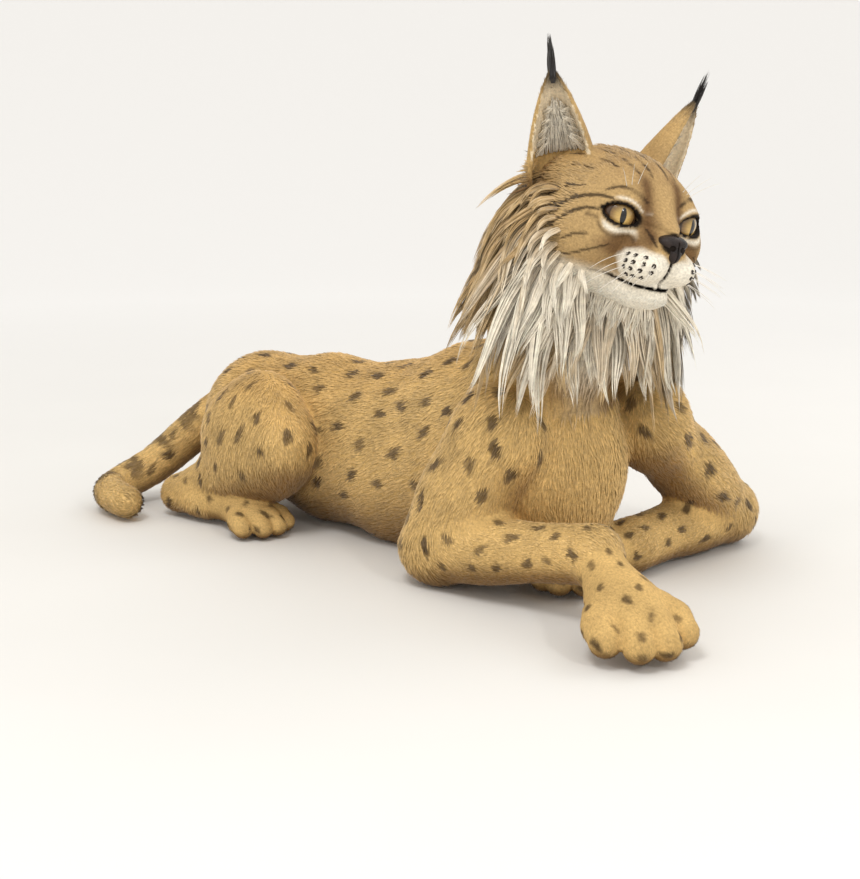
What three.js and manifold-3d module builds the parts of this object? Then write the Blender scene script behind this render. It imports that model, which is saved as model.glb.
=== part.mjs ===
// A Eurasian lynx at rest: chest and belly on the floor, head up, the right foreleg laid over the left.
// Millimetres. The floor is z = 0, +Z is up, +X is the way the loins point and +Y is the animal's left.
import * as THREE from "three";
import { mergeVertices } from "three/addons/utils/BufferGeometryUtils.js";
import Module from "manifold-3d";

const wasm = await Module();
wasm.setup();
const V = (x, y, z) => new THREE.Vector3(x, y, z);
const rad = THREE.MathUtils.degToRad;
const UP = V(0, 0, 1);
const DOWN = V(0, 0, -1);
const mix = THREE.MathUtils.lerp;

// Driving dimensions of a large adult
const GAP = 0.3; // kept between nodes that touch
const FAR = 2000; // longer than the whole animal
const trunk = { midline: 30, rump: 222, back: 234, ribs: 270, withers: 292, chestYaw: -20 };
const thick = { elbow: 37, wrist: 36, heel: 27, tailRoot: 36, tailTip: 27 };
const paw = { width: 110, length: 108, height: 58, toe: 21 };
const hindPaw = { width: 84, length: 84, height: 46, toe: 16 };
const head = { at: V(294, -54, 415), yaw: -22, nod: 6, tilt: -9, scale: 1.15 };
const eye = { radius: 18, forward: 48.5, apart: 66, high: 12, turn: 20 };
const ear = { high: 78, wide: 66, deep: 32, wall: 4, round: 112, root: 14, lean: 24, turn: 34, tuft: 42 };
const lock = { thick: 0.36, sink: 9, lift: 10 }; // thickness is a part of the width

// Joint points, each with its own place because the two sides lie differently
const joints = {
  shoulderRight: V(172, -82, 182),
  elbowRight: V(104, -112, 42),
  wristRight: V(322, -120, 76),
  shoulderLeft: V(246, 98, 182),
  elbowLeft: V(268, 264, 42),
  wristLeft: V(256, 62, 36),
  kneeRight: V(-168, -92, 122),
  heelRight: V(-372, -88, 30),
  toesRight: V(-168, -104, 18),
};

// Fields give about how far a point is outside a form
function egg(at, radii, turn = new THREE.Quaternion()) {
  const back = turn.clone().invert();
  const q = V();
  const least = Math.min(...radii);
  return (p) => {
    q.copy(p).sub(at).applyQuaternion(back);
    const near = Math.hypot(q.x / radii[0], q.y / radii[1], q.z / radii[2]);
    const steep = Math.hypot(q.x / radii[0] ** 2, q.y / radii[1] ** 2, q.z / radii[2] ** 2);
    return steep < 1e-9 ? -least : (near * (near - 1)) / steep;
  };
}

function rod(a, b, ra, rb) {
  const along = b.clone().sub(a);
  const q = V();
  return (p) => {
    q.copy(p).sub(a);
    const t = THREE.MathUtils.clamp(q.dot(along) / along.lengthSq(), 0, 1);
    return q.addScaledVector(along, -t).length() - mix(ra, rb, t);
  };
}

// A flattened egg whose long axis runs from a to b, with its thin axis towards side
function muscle(a, b, over, wide, thin, side) {
  const x = b.clone().sub(a).normalize();
  const z = side.clone().addScaledVector(x, -side.dot(x)).normalize();
  const basis = new THREE.Matrix4().makeBasis(x, z.clone().cross(x), z);
  const turn = new THREE.Quaternion().setFromRotationMatrix(basis);
  return egg(a.clone().lerp(b, 0.5), [a.distanceTo(b) / 2 + over, wide, thin], turn);
}

const yawed = (deg) => new THREE.Quaternion().setFromAxisAngle(UP, rad(deg));
const grown = (field, by) => (p) => field(p) - by;

function soft(k, ...fields) {
  return (p) => {
    let d = fields[0](p);
    for (const f of fields.slice(1)) {
      const e = f(p);
      const h = Math.max(k - Math.abs(d - e), 0) / k;
      d = Math.min(d, e) - (h * h * k) / 4;
    }
    return d;
  };
}

// The first point outside the field on the way from a point inside it
function surfacePoint(field, from, way, reach) {
  const p = V();
  const at = (t) => field(p.copy(from).addScaledVector(way, t));
  let lo = 0;
  let hi = 0;
  for (let t = reach; t > 0; t -= 3) {
    if (at(t) < 0) {
      lo = t;
      hi = t + 3;
      break;
    }
  }
  for (let i = 0; i < 16; i++) {
    const mid = (lo + hi) / 2;
    if (at(mid) < 0) lo = mid;
    else hi = mid;
  }
  return from.clone().addScaledVector(way, (lo + hi) / 2);
}

// Geometry from rings of points, closed by a point or a fan at each end
function loft(rings) {
  const n = rings[0].length;
  const points = rings.flat();
  const faces = [];
  for (let i = 0; i + 1 < rings.length; i++) {
    for (let j = 0; j < n; j++) {
      const a = i * n + j;
      const b = i * n + ((j + 1) % n);
      faces.push(a, b, b + n, a, b + n, a + n);
    }
  }
  for (const [start, order] of [[0, 1], [(rings.length - 1) * n, 0]]) {
    const hub = points.length;
    const centre = V(0, 0, 0);
    for (let j = 0; j < n; j++) centre.addScaledVector(points[start + j], 1 / n);
    points.push(centre);
    for (let j = 0; j < n; j++) {
      const a = start + j;
      const b = start + ((j + 1) % n);
      faces.push(...(order ? [hub, b, a] : [hub, a, b]));
    }
  }
  const made = new THREE.BufferGeometry().setFromPoints(points);
  made.setIndex(faces);
  return made;
}

// A skin of rings round a line of points, each pushed out to where the field is zero, with round ends
function wrap(field, line, { rings, sides, caps = 4, reach = 220 }) {
  const curve = new THREE.CatmullRomCurve3(line);
  const frames = curve.computeFrenetFrames(rings, false);
  const all = [];
  const ring = (at, along, u, v, lean) => {
    const points = [];
    for (let j = 0; j < sides; j++) {
      const a = (2 * Math.PI * j) / sides;
      const way = u.clone().multiplyScalar(Math.cos(a)).addScaledVector(v, Math.sin(a));
      way.multiplyScalar(Math.cos(lean)).addScaledVector(along, Math.sin(lean)).normalize();
      points.push(surfacePoint(field, at, way, reach));
    }
    return points;
  };
  for (let i = 0; i <= rings; i++) {
    const at = curve.getPointAt(i / rings);
    const [along, u, v] = [frames.tangents[i], frames.normals[i], frames.binormals[i]];
    if (i === 0) {
      for (let c = caps; c > 0; c--) all.push(ring(at, along, u, v, (-c * Math.PI) / 2 / (caps + 0.35)));
    }
    all.push(ring(at, along, u, v, 0));
    if (i === rings) {
      for (let c = 1; c <= caps; c++) all.push(ring(at, along, u, v, (c * Math.PI) / 2 / (caps + 0.35)));
    }
  }
  return loft(all);
}

// Solids
function solid(geometry) {
  const bare = geometry.clone();
  bare.deleteAttribute("normal");
  bare.deleteAttribute("uv");
  const merged = mergeVertices(bare, 1e-4);
  const faces = new Uint32Array(merged.index.array);
  const vertProperties = new Float32Array(merged.getAttribute("position").array);
  const made = new wasm.Manifold(new wasm.Mesh({ numProp: 3, vertProperties, triVerts: faces }));
  if (made.volume() > 0) return made;
  return new wasm.Manifold(new wasm.Mesh({ numProp: 3, vertProperties, triVerts: faces.reverse() }));
}

const join = (pieces) => wasm.Manifold.union(pieces);
const without = (body, cutters) => cutters.reduce((left, cutter) => left.subtract(cutter), body);

// The largest closed surface of a solid, as geometry
function largest(body) {
  const parts = body.decompose().sort((a, b) => b.volume() - a.volume());
  const mesh = parts[0].getMesh();
  const made = new THREE.BufferGeometry();
  made.setAttribute("position", new THREE.BufferAttribute(new Float32Array(mesh.vertProperties), 3));
  made.setIndex(new THREE.BufferAttribute(new Uint32Array(mesh.triVerts), 1));
  return made;
}

// Everything on the side of a plane that its normal points to
function halfSpace(point, normal) {
  const box = new THREE.BoxGeometry(FAR, FAR, FAR).translate(0, 0, FAR / 2);
  box.applyQuaternion(new THREE.Quaternion().setFromUnitVectors(UP, normal.clone().normalize()));
  return solid(box.translate(point.x, point.y, point.z));
}

const floor = halfSpace(V(0, 0, 0), DOWN);
const shifted = (point, normal, by) => point.clone().addScaledVector(normal.clone().normalize(), by);
const beyond = (point, normal) => halfSpace(shifted(point, normal, -GAP / 2), normal);
const behind = (point, normal) => halfSpace(shifted(point, normal, GAP / 2), normal.clone().negate());

// Trunk: rump, belly and chest
const chestTurn = yawed(trunk.chestYaw);
const eggs = {
  rump: egg(V(-314, trunk.midline, 122), [100, 90, trunk.rump - 122]),
  loins: egg(V(-190, 32, 112), [118, 88, 118]),
  belly: egg(V(-50, 32, 108), [128, 102, trunk.back - 108]),
  ribs: egg(V(66, 22, 134), [116, 106, trunk.ribs - 134], yawed(-8)),
  chest: egg(V(156, 4, 152), [92, 100, trunk.withers - 152], chestTurn),
  sternum: egg(V(200, -6, 130), [66, 78, 96], chestTurn),
};
const trunkField = soft(50, ...Object.values(eggs));
const spine = [V(-350, 30, 122), V(-190, 32, 122), V(-40, 32, 120), V(90, 20, 128), V(190, -2, 140)];
const trunkMesh = { rings: 16, sides: 20, caps: 3 };
const trunkSolid = solid(wrap(trunkField, spine, trunkMesh)).subtract(floor);
const trunkFat = solid(wrap(grown(trunkField, GAP), spine, trunkMesh));
const loinsCut = [V(-200, 32, 120), V(1, 0, 0.1)];
const chestCut = [V(62, 24, 120), V(1, -0.2, 0.15)];

// Neck
const neckField = soft(
  40,
  rod(V(170, 0, 210), V(254, -38, 388), 84, 74),
  egg(V(206, -26, 326), [86, 74, 96], chestTurn),
);
const neckLine = [V(172, 0, 215), V(214, -18, 296), V(258, -34, 372)];
const neckMesh = { rings: 7, sides: 18, caps: 3 };

const nodes = {};
function paint(color, roughness = 0.9) {
  return new THREE.MeshStandardMaterial({ color, roughness, metalness: 0 });
}
const coat = paint("#b98f52");
const dark = paint("#2a2019", 0.6);

function node(name, body, material = coat, pivot = V(0, 0, 0)) {
  const geometry = largest(body);
  geometry.translate(-pivot.x, -pivot.y, -pivot.z);
  const mesh = new THREE.Mesh(geometry, material);
  mesh.name = name;
  mesh.position.copy(pivot);
  nodes[name] = mesh;
  return mesh;
}

node("rump", without(trunkSolid, [beyond(...loinsCut)]));
node("belly", without(trunkSolid, [behind(...loinsCut), beyond(...chestCut)]));
node("chest", without(trunkSolid, [behind(...chestCut)]));

// Limbs
function limb(field, line, mesh) {
  return {
    field,
    body: solid(wrap(field, line, mesh)).subtract(floor),
    fat: solid(wrap(grown(field, GAP), line, mesh)),
  };
}

function upperArm(shoulder, elbow, side) {
  const field = soft(
    34,
    muscle(shoulder, elbow, 34, 66, 50, side),
    egg(elbow, [thick.elbow, thick.elbow, thick.elbow]),
    egg(shoulder, [66, 50, 62], chestTurn),
  );
  const line = [0.05, 0.5, 0.92].map((t) => shoulder.clone().lerp(elbow, t));
  return limb(field, line, { rings: 6, sides: 14, caps: 3 });
}

function foreArm(elbow, wrist, side) {
  const behind = elbow.clone().addScaledVector(wrist.clone().sub(elbow).normalize(), -26);
  const field = soft(
    22,
    muscle(elbow, elbow.clone().lerp(wrist, 0.6), 22, 42, 37, side),
    rod(elbow, wrist, thick.elbow, thick.wrist),
    egg(behind, [24, 24, 24]),
  );
  return limb(field, [elbow, wrist], { rings: 5, sides: 12, caps: 3 });
}

// A foot with four toes, in its own frame: the wrist or ankle is behind it and the toe tips are in front
function foot(tip, yaw, nod, { width, length, height, toe }, ankle) {
  const turn = new THREE.Quaternion().setFromEuler(new THREE.Euler(0, rad(nod), rad(yaw), "ZYX"));
  const place = (x, y, z) => V(x, y, z).applyQuaternion(turn).add(tip);
  const padRadii = [length * 0.52, width * 0.4, height * 0.52];
  const pad = egg(place(-length * 0.72, 0, height * 0.52), padRadii, turn);
  const root = place(-length * 0.85, 0, height * 0.6);
  const palmField = soft(20, pad, rod(root, ankle, height * 0.5, height * 0.52));
  const palmLine = [place(-length * 0.45, 0, height * 0.5), root, ankle];
  const palm = limb(palmField, palmLine, { rings: 4, sides: 12, caps: 2 });
  const toes = [-1.5, -0.5, 0.5, 1.5].map((step) => {
    const y = (step * width) / 4.1;
    const back = Math.abs(step) > 1 ? length * 0.17 : 0;
    const from = place(-length * 0.62 - back * 0.3, y * 0.8, height * 0.5);
    const to = place(-toe - back, y * 1.02, toe * 0.98);
    return limb(rod(from, to, toe * 1.12, toe), [from, to], { rings: 1, sides: 7, caps: 2, reach: 60 });
  });
  return {
    body: join([palm.body, ...toes.map((t) => t.body)]),
    fat: join([palm.fat, ...toes.map((t) => t.fat)]),
  };
}

const sideRight = V(-0.2, -1, 0.1);
const sideLeft = V(0.5, 1, 0.1);
const armRight = upperArm(joints.shoulderRight, joints.elbowRight, sideRight);
const armLeft = upperArm(joints.shoulderLeft, joints.elbowLeft, sideLeft);
const forearmRight = foreArm(joints.elbowRight, joints.wristRight, UP);
const forearmLeft = foreArm(joints.elbowLeft, joints.wristLeft, UP);
const pawRight = foot(V(456, -203, 0), -32, 10, paw, joints.wristRight);
const pawLeft = foot(V(230, -86, 0), -97, 0, { ...paw, width: 90 }, joints.wristLeft);

// Hind legs: the left one mirrors the right across the midline of the rump
const mirrorY = (p) => V(p.x, 2 * trunk.midline - p.y, p.z);
function hindLeg(flip, tag) {
  const at = (p) => (flip ? mirrorY(p) : p.clone());
  const out = V(0, flip ? 1 : -1, 0.15);
  const hip = at(V(-312, -28, 140));
  const knee = at(joints.kneeRight);
  const heel = at(joints.heelRight);
  const thighField = soft(
    36,
    muscle(hip, knee, 26, 80, 50, out),
    egg(at(V(-240, -68, 112)), [98, 50, 78]),
    rod(knee, at(V(-300, -80, 56)), 34, 30),
  );
  const thighLine = [V(-300, -52, 118), V(-240, -66, 112), V(-190, -74, 112)].map(at);
  const thigh = limb(thighField, thighLine, { rings: 6, sides: 16, caps: 3 });
  const toes = at(joints.toesRight);
  const way = toes.clone().sub(heel);
  const yaw = THREE.MathUtils.radToDeg(Math.atan2(way.y, way.x));
  const sole = foot(V(toes.x, toes.y, 0), yaw - 8, 0, hindPaw, heel.clone().lerp(toes, 0.2));
  const shankField = soft(
    16,
    rod(heel, heel.clone().lerp(toes, 0.3), thick.heel, 24),
    rod(heel, at(V(-300, -78, 66)), thick.heel, 36),
  );
  const shank = limb(shankField, [heel, at(V(-320, -78, 52))], { rings: 3, sides: 12, caps: 3 });
  return { thigh, sole, shank, tag };
}
const hinds = [hindLeg(false, "right"), hindLeg(true, "left")];

for (const [tag, arm, forearm, hand, elbow, wrist] of [
  ["left", armLeft, forearmLeft, pawLeft, joints.elbowLeft, joints.wristLeft],
  ["right", armRight, forearmRight, pawRight, joints.elbowRight, joints.wristRight],
]) {
  const crossed = tag === "right" ? [pawLeft.fat, forearmLeft.fat] : [];
  node("upper_arm_" + tag, without(arm.body, [trunkFat]), coat, elbow);
  node("forearm_" + tag, without(forearm.body, [trunkFat, arm.fat, ...crossed]), coat, elbow);
  node("forepaw_" + tag, without(hand.body, [forearm.fat, trunkFat, ...crossed]), coat, wrist);
}
for (const { thigh, sole, shank, tag } of hinds) {
  node("thigh_" + tag, without(thigh.body, [trunkFat]), coat);
  node("shank_" + tag, without(shank.body, [thigh.fat, trunkFat]), coat);
  node("hindfoot_" + tag, without(sole.body, [shank.fat, thigh.fat, trunkFat]), coat);
}

// Tail, laid down and round to the right
const tailLine = [
  V(-372, 28, 150),
  V(-424, 2, 108),
  V(-464, -52, 54),
  V(-480, -104, 30),
  V(-456, -142, 27),
  V(-402, -158, 26),
];
function tube(line, radii, by, mesh) {
  const curve = new THREE.CatmullRomCurve3(line);
  const steps = 14;
  const fields = [];
  for (let i = 0; i < steps; i++) {
    const [s, e] = [i / steps, (i + 1) / steps];
    fields.push(rod(curve.getPointAt(s), curve.getPointAt(e), mix(...radii, s), mix(...radii, e)));
  }
  return solid(wrap(grown((p) => Math.min(...fields.map((f) => f(p))), by), line, mesh));
}
const tailMesh = { rings: 14, sides: 12, caps: 3, reach: 70 };
const tail = tube(tailLine, [thick.tailRoot, thick.tailTip], 0, tailMesh).subtract(floor);
const tipCut = [V(-470, -126, 29), V(0.75, -0.65, -0.05)];
node("tail_base", without(tail, [trunkFat, beyond(...tipCut)]));
node("tail_tip", without(tail, [behind(...tipCut)]), dark);

// Head, shaped in its own frame: +X out of the nose
const headAngles = new THREE.Euler(rad(head.tilt), rad(head.nod), rad(head.yaw), "ZYX");
const headTurn = new THREE.Quaternion().setFromEuler(headAngles);
const headMatrix = new THREE.Matrix4().compose(head.at, headTurn, V(head.scale, head.scale, head.scale));
const toHead = headMatrix.clone().invert();
const inHead = (field) => {
  const q = V();
  return (p) => field(q.copy(p).applyMatrix4(toHead)) * head.scale;
};
const onHead = (x, y, z) => V(x, y, z).applyMatrix4(headMatrix);
const pair = (make) => [make(1), make(-1)];
const skull = soft(
  26,
  egg(V(-20, 0, 14), [78, 69, 57]),
  egg(V(20, 0, 26), [46, 46, 32]),
  ...pair((s) => egg(V(20, s * 44, -8), [48, 28, 32])),
  ...pair((s) => egg(V(-12, s * 44, -34), [54, 32, 40])),
);
const face = soft(
  14,
  skull,
  rod(V(36, 0, 20), V(86, 0, -5), 28, 16),
  ...pair((s) => egg(V(40, s * 27, 30), [22, 18, 12])),
  egg(V(64, 0, -20), [32, 30, 25]),
  egg(V(64, 0, -52), [29, 22, 15]),
  ...pair((s) => rod(V(58, s * 8, -50), V(0, s * 34, -44), 15, 24)),
);
const headField = soft(5, face, ...pair((s) => egg(V(76, s * 16, -26), [27, 21, 18])));
const headLine = [V(-62, 0, 2), V(0, 0, -2), V(50, 0, -10), V(78, 0, -22)];
const headMesh = { rings: 15, sides: 28, caps: 3, reach: 140 };
const inner = (geometry) => solid(geometry.applyMatrix4(headMatrix));
const headBody = inner(wrap(headField, headLine, headMesh));
const headFat = inner(wrap(grown(headField, GAP / head.scale), headLine, headMesh));
const aim = (deg, s) => new THREE.Quaternion().setFromAxisAngle(UP, rad(deg * s));

function ellipsoid(at, radii, turn, [across, down] = [10, 7]) {
  const made = new THREE.SphereGeometry(1, across, down).scale(...radii).applyQuaternion(turn);
  return inner(made.translate(at.x, at.y, at.z));
}

// Eyes, each behind a lid opening, and the lids round them
const eyeAt = (s) => V(eye.forward, (s * eye.apart) / 2, eye.high);
const eyeball = (s, by) => ellipsoid(eyeAt(s), Array(3).fill(eye.radius + by), aim(eye.turn, s), [12, 8]);
const socket = (s) => {
  const at = eyeAt(s).add(V(eye.radius * 0.8, 0, 0).applyQuaternion(aim(eye.turn, s)));
  return ellipsoid(at, [13, eye.radius + 1, 9.5], aim(eye.turn, s));
};

function strip(points, radius, steps, sides = 5) {
  const section = new THREE.Shape(
    Array.from({ length: sides }, (_, i) => {
      const a = (2 * Math.PI * i) / sides;
      return new THREE.Vector2(radius * Math.cos(a), radius * Math.sin(a));
    }),
  );
  const extrudePath = new THREE.CatmullRomCurve3(points);
  return inner(new THREE.ExtrudeGeometry(section, { steps, bevelEnabled: false, extrudePath }));
}

const lidSpan = 54; // degrees to each corner
const lidTilt = 9; // the outer corner is higher
function lid(s, rise) {
  const points = [];
  for (let a = -1; a <= 1.001; a += 0.25) {
    const round = rad(eye.turn + lidSpan * a);
    const lift = rad(rise * Math.sqrt(Math.max(0, 1 - a * a)) + lidTilt * a);
    const way = V(Math.cos(round), s * Math.sin(round), 0).multiplyScalar(Math.cos(lift));
    way.z = Math.sin(lift);
    points.push(eyeAt(s).addScaledVector(way, eye.radius + 1.6));
  }
  return strip(s > 0 ? points : points.reverse(), 3, 4);
}

// The mouth is a slit under the lip that runs back and up to its corners
function mouthSlit() {
  const shape = new THREE.Shape();
  shape.absellipse(24, 0, 90, 62, -1.15, 1.15, false);
  shape.absellipse(24, 0, 62, 30, 1.0, -1.0, true);
  const plate = new THREE.ExtrudeGeometry(shape, { depth: 2, bevelEnabled: false, curveSegments: 6 });
  const place = plate.getAttribute("position");
  for (let i = 0; i < place.count; i++) {
    const back = Math.max(0, 88 - place.getX(i));
    place.setZ(i, place.getZ(i) - 45 + back * back * 0.0022);
  }
  return inner(plate);
}

const noseField = soft(6, egg(V(93, 0, -3), [12, 15, 9]), egg(V(97, 0, -12), [8, 7, 8]));
const noseLine = [V(90, 0, -6), V(97, 0, -7)];
const noseBody = inner(wrap(noseField, noseLine, { rings: 1, sides: 12, caps: 2, reach: 30 }));
const nostril = (s) => ellipsoid(V(103, s * 8, -6), [7, 3.6, 2.4], aim(28, s), [6, 4]);

// An ear is a curved wall round a cup, narrowing to a point
function earSolid(s) {
  const rings = [];
  const levels = 6;
  const across = 6;
  for (let i = 0; i <= levels; i++) {
    const t = i / levels;
    const narrow = Math.pow(1 - t, 0.8) * (1 + 0.35 * t) + 0.03;
    const [w, d] = [(ear.wide / 2) * narrow, ear.deep * Math.pow(1 - t, 0.7) * 0.9 + 2.5];
    const wall = Math.min(ear.wall, w * 0.6);
    const ring = [];
    for (const [side, order] of [[0, 1], [wall, -1]]) {
      for (let j = 0; j <= across; j++) {
        const a = rad(ear.round) * order * ((2 * j) / across - 1);
        const [x, y] = [d * 0.4 - (d - side) * Math.cos(a), (w - side) * Math.sin(a)];
        ring.push(V(x, y, ear.high * t - ear.root * (1 - t)));
      }
    }
    rings.push(ring);
  }
  return inner(loft(rings).applyMatrix4(earMatrix(s)));
}
const earMatrix = (s) => {
  const angles = new THREE.Euler(rad(-ear.lean * s), rad(4), rad(ear.turn * s), "XYZ");
  const turn = new THREE.Quaternion().setFromEuler(angles);
  return new THREE.Matrix4().compose(V(-30, s * 50, 52), turn, V(1, 1, 1));
};

// The tuft at the tip of an ear, and the pale hair that rises across its cup
function earHair(s) {
  const place = (x, y, z) => V(x, y, z).applyMatrix4(earMatrix(s)).applyMatrix4(headMatrix);
  const way = (x, y, z) => place(x, y, z).sub(place(0, 0, 0)).normalize();
  const tuft = [0, 1].map((i) =>
    strand({
      root: place(-4 + 2 * i, 0, ear.high - 12),
      out: way(-1, 0.2 * i, 0),
      way: way(-0.12 - 0.1 * i, 0.1 * i, 1),
      length: ear.tuft * (1 - 0.25 * i) + 12,
      width: 9,
      fall: -0.02,
      bend: 0.03,
    }),
  );
  const cup = [-0.7, 0.7].map((k) =>
    strand({
      root: place(-2, k * ear.wide * 0.34, 4),
      out: way(1, k * 0.3, 0),
      way: way(0.25, -k * 0.35, 1),
      length: 44,
      width: 12,
      fall: -0.05,
      bend: -k * 0.05,
    }),
  );
  return [...tuft, ...cup];
}

const lids = pair((s) => [lid(s, 26), lid(s, -22)]).flat();
const neckPlane = [V(236, -26, 350), V(0.5, -0.17, 0.85)];
const neckBody = solid(wrap(neckField, neckLine, neckMesh));
const above = halfSpace(shifted(...neckPlane, GAP / 2), neckPlane[1]);
const below = halfSpace(shifted(...neckPlane, -GAP / 2), neckPlane[1].clone().negate());

// Locks: flat tapered strands that leave the skin, fall and overlap
let seed = 7;
function vary(least, most) {
  seed = (seed * 16807) % 2147483647;
  return mix(least, most, seed / 2147483647);
}

function outward(field, at) {
  const d = 1.5; // small against every form
  const slope = (by) => field(at.clone().add(by)) - field(at.clone().sub(by));
  return V(slope(V(d, 0, 0)), slope(V(0, d, 0)), slope(V(0, 0, d))).normalize();
}

const strandProfile = [
  [0, 0.8],
  [0.22, 1],
  [0.5, 0.82],
  [0.78, 0.48],
];
function strand({ root, out, way, length, width, fall, bend, over }, by = 0) {
  const at = root.clone().addScaledVector(out, -lock.sink);
  const go = way.clone().normalize();
  const clear = (point, t) => {
    const short = over ? lock.lift * (0.4 + t) - over(point) : 0;
    return short > 0 && t > 0 ? point.clone().addScaledVector(outward(over, point), short) : point;
  };
  const rings = [];
  let reached = 0;
  for (const [t, w] of strandProfile) {
    const next = clear(at.clone().addScaledVector(go, (t - reached) * length), t);
    if (t > 0) go.copy(next).sub(at).normalize();
    at.copy(next);
    reached = t;
    const flat = out.clone().addScaledVector(go, -out.dot(go)).normalize();
    const side = go.clone().cross(flat);
    const half = (width / 2) * w;
    const high = width * w * lock.thick;
    const more = 1 + (3 * by) / high;
    const corner = (across, up) => {
      return at.clone().addScaledVector(side, across * more).addScaledVector(flat, up * more);
    };
    rings.push([corner(half, -high / 3), corner(0, high / 1.5), corner(-half, -high / 3)]);
    go.addScaledVector(DOWN, fall).addScaledVector(side, bend).normalize();
  }
  const around = rings[0].length;
  const last = clear(at.clone().addScaledVector(go, (1 - reached) * length), 1);
  const points = [...rings.flat(), last.addScaledVector(go, 3 * by)];
  const tip = points.length - 1;
  const faces = [0, 2, 1];
  for (let i = 0; i + 1 < rings.length; i++) {
    for (let j = 0; j < around; j++) {
      const [a, b] = [i * around + j, i * around + ((j + 1) % around)];
      faces.push(a, b, b + around, a, b + around, a + around);
    }
  }
  for (let j = 0; j < around; j++) faces.push(tip - around + j, tip - around + ((j + 1) % around), tip);
  const made = new THREE.BufferGeometry().setFromPoints(points);
  made.setIndex(faces);
  return solid(made);
}

// The point where a field ends on the way out from a point inside it
function onSkin(field, inside, way) {
  return surfacePoint(field, inside, way.clone().normalize(), 160);
}

const headWorld = inHead(headField);
const hide = soft(20, neckField, headWorld);
const drape = soft(12, hide, trunkField, armLeft.field, armRight.field);
const ruffRoots = new THREE.CatmullRomCurve3([
  V(-24, 62, 26),
  V(-6, 76, 2),
  V(10, 70, -30),
  V(30, 50, -54),
  V(56, 12, -64),
]);
const ruffLengths = [
  [0, 96],
  [0.3, 140],
  [0.5, 178],
  [0.72, 158],
  [0.86, 96],
  [1, 60],
];
const ruffRows = [7, 6, 4];
function along(table, q) {
  const i = Math.min(table.length - 2, Math.max(0, table.findIndex(([x]) => x > q) - 1));
  const [[a, u], [b, v]] = [table[i], table[i + 1]];
  return mix(u, v, (q - a) / (b - a));
}

// Ruff and beard: rows from below each ear round the cheek to the chin
function ruffStrands(s) {
  const back = onHead(-1, 0, 0).sub(onHead(0, 0, 0)).normalize();
  const aside = onHead(0, s, 0).sub(onHead(0, 0, 0)).normalize();
  return ruffRows.flatMap((count, row) =>
    Array.from({ length: count }, (_, i) => {
      const q = (i + 0.3 + 0.4 * (row % 2) + vary(-0.08, 0.08)) / count;
      const r = ruffRoots.getPoint(q);
      const centre = onHead(-8 - row * 18, 0, -4);
      const root = onSkin(hide, centre, onHead(r.x - row * 22, s * r.y, r.z).sub(centre));
      const out = outward(hide, root);
      const way = out.clone().multiplyScalar(0.75 - 0.35 * q);
      way.addScaledVector(back, mix(0.8, -0.1, q)).addScaledVector(aside, 0.25);
      way.addScaledVector(DOWN, 0.7 + q * 0.5);
      return {
        root,
        out,
        way,
        length: along(ruffLengths, q) * vary(0.84, 1.1),
        width: mix(24, 32, Math.sin(Math.PI * q)) * vary(0.85, 1.15),
        fall: 0.3,
        bend: vary(-0.16, 0.16),
        over: drape,
      };
    }),
  );
}

// Mane: rows from the crown down the back and sides of the neck
const nape = new THREE.CatmullRomCurve3([V(236, -26, 440), V(214, -24, 380), V(196, -20, 310)]);
const maneRows = [4, 4, 3];
function maneStrands(s) {
  return maneRows.flatMap((count, row) =>
    Array.from({ length: count }, (_, i) => {
      const q = (i + 0.35 + 0.3 * (row % 2)) / count;
      const inside = nape.getPoint(q);
      const round = rad(14 + row * 34 + vary(-6, 6)) * s;
      const rearward = V(-Math.cos(round), Math.sin(round), 0.2).applyQuaternion(yawed(-14));
      const root = onSkin(hide, inside, rearward);
      const out = outward(hide, root);
      return {
        root,
        out,
        way: out.clone().multiplyScalar(0.6).add(V(-0.3, 0, -0.8)),
        length: mix(140, 96, q) * vary(0.86, 1.1),
        width: 30 * vary(0.85, 1.15),
        fall: 0.2,
        bend: vary(-0.14, 0.14),
        over: drape,
      };
    }),
  );
}

// Throat: rows down the front of the neck
const gullet = new THREE.CatmullRomCurve3([V(262, -38, 372), V(232, -26, 310), V(206, -14, 256)]);
const throatRows = [4, 5];
function throatStrands() {
  return throatRows.flatMap((count, row) =>
    Array.from({ length: count }, (_, i) => {
      const round = rad(trunk.chestYaw + ((i + 0.5) / count - 0.5) * 150);
      const inside = gullet.getPoint(0.25 + row * 0.45);
      const root = onSkin(hide, inside, V(Math.cos(round), Math.sin(round), 0.1));
      const out = outward(hide, root);
      return {
        root,
        out,
        way: out.clone().multiplyScalar(0.5).add(V(0, 0, -0.9)),
        length: mix(118, 84, row) * vary(0.86, 1.1),
        width: 32 * vary(0.85, 1.15),
        fall: 0.3,
        bend: vary(-0.1, 0.1),
        over: drape,
      };
    }),
  );
}

const aboveNeck = ({ root }) => root.clone().sub(neckPlane[0]).dot(neckPlane[1]) > 0;
const strands = [...pair(ruffStrands), ...pair(maneStrands), throatStrands()].flat();
const headLocks = (by) => join(strands.filter(aboveNeck).map((one) => strand(one, by)));
const neckLocks = strands.filter((one) => !aboveNeck(one)).map((one) => strand(one));
const limbsFat = [trunkFat, armLeft.fat, armRight.fat];
const neckFat = solid(wrap(grown(neckField, GAP), neckLine, neckMesh)).intersect(below);
const faceBody = without(headBody, pair(socket));
const headJoined = join([faceBody, ...lids, neckBody.intersect(above), headLocks(0)]);
const headWhole = without(headJoined, [
  mouthSlit(),
  ...pair((s) => eyeball(s, GAP)),
  ...limbsFat,
  neckFat,
]);
const neckWhole = without(join([neckBody.intersect(below), ...neckLocks]), [
  ...limbsFat,
  headFat,
  neckBody.intersect(above),
  headLocks(GAP),
]);
node("head", headWhole, coat, head.at);
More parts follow.
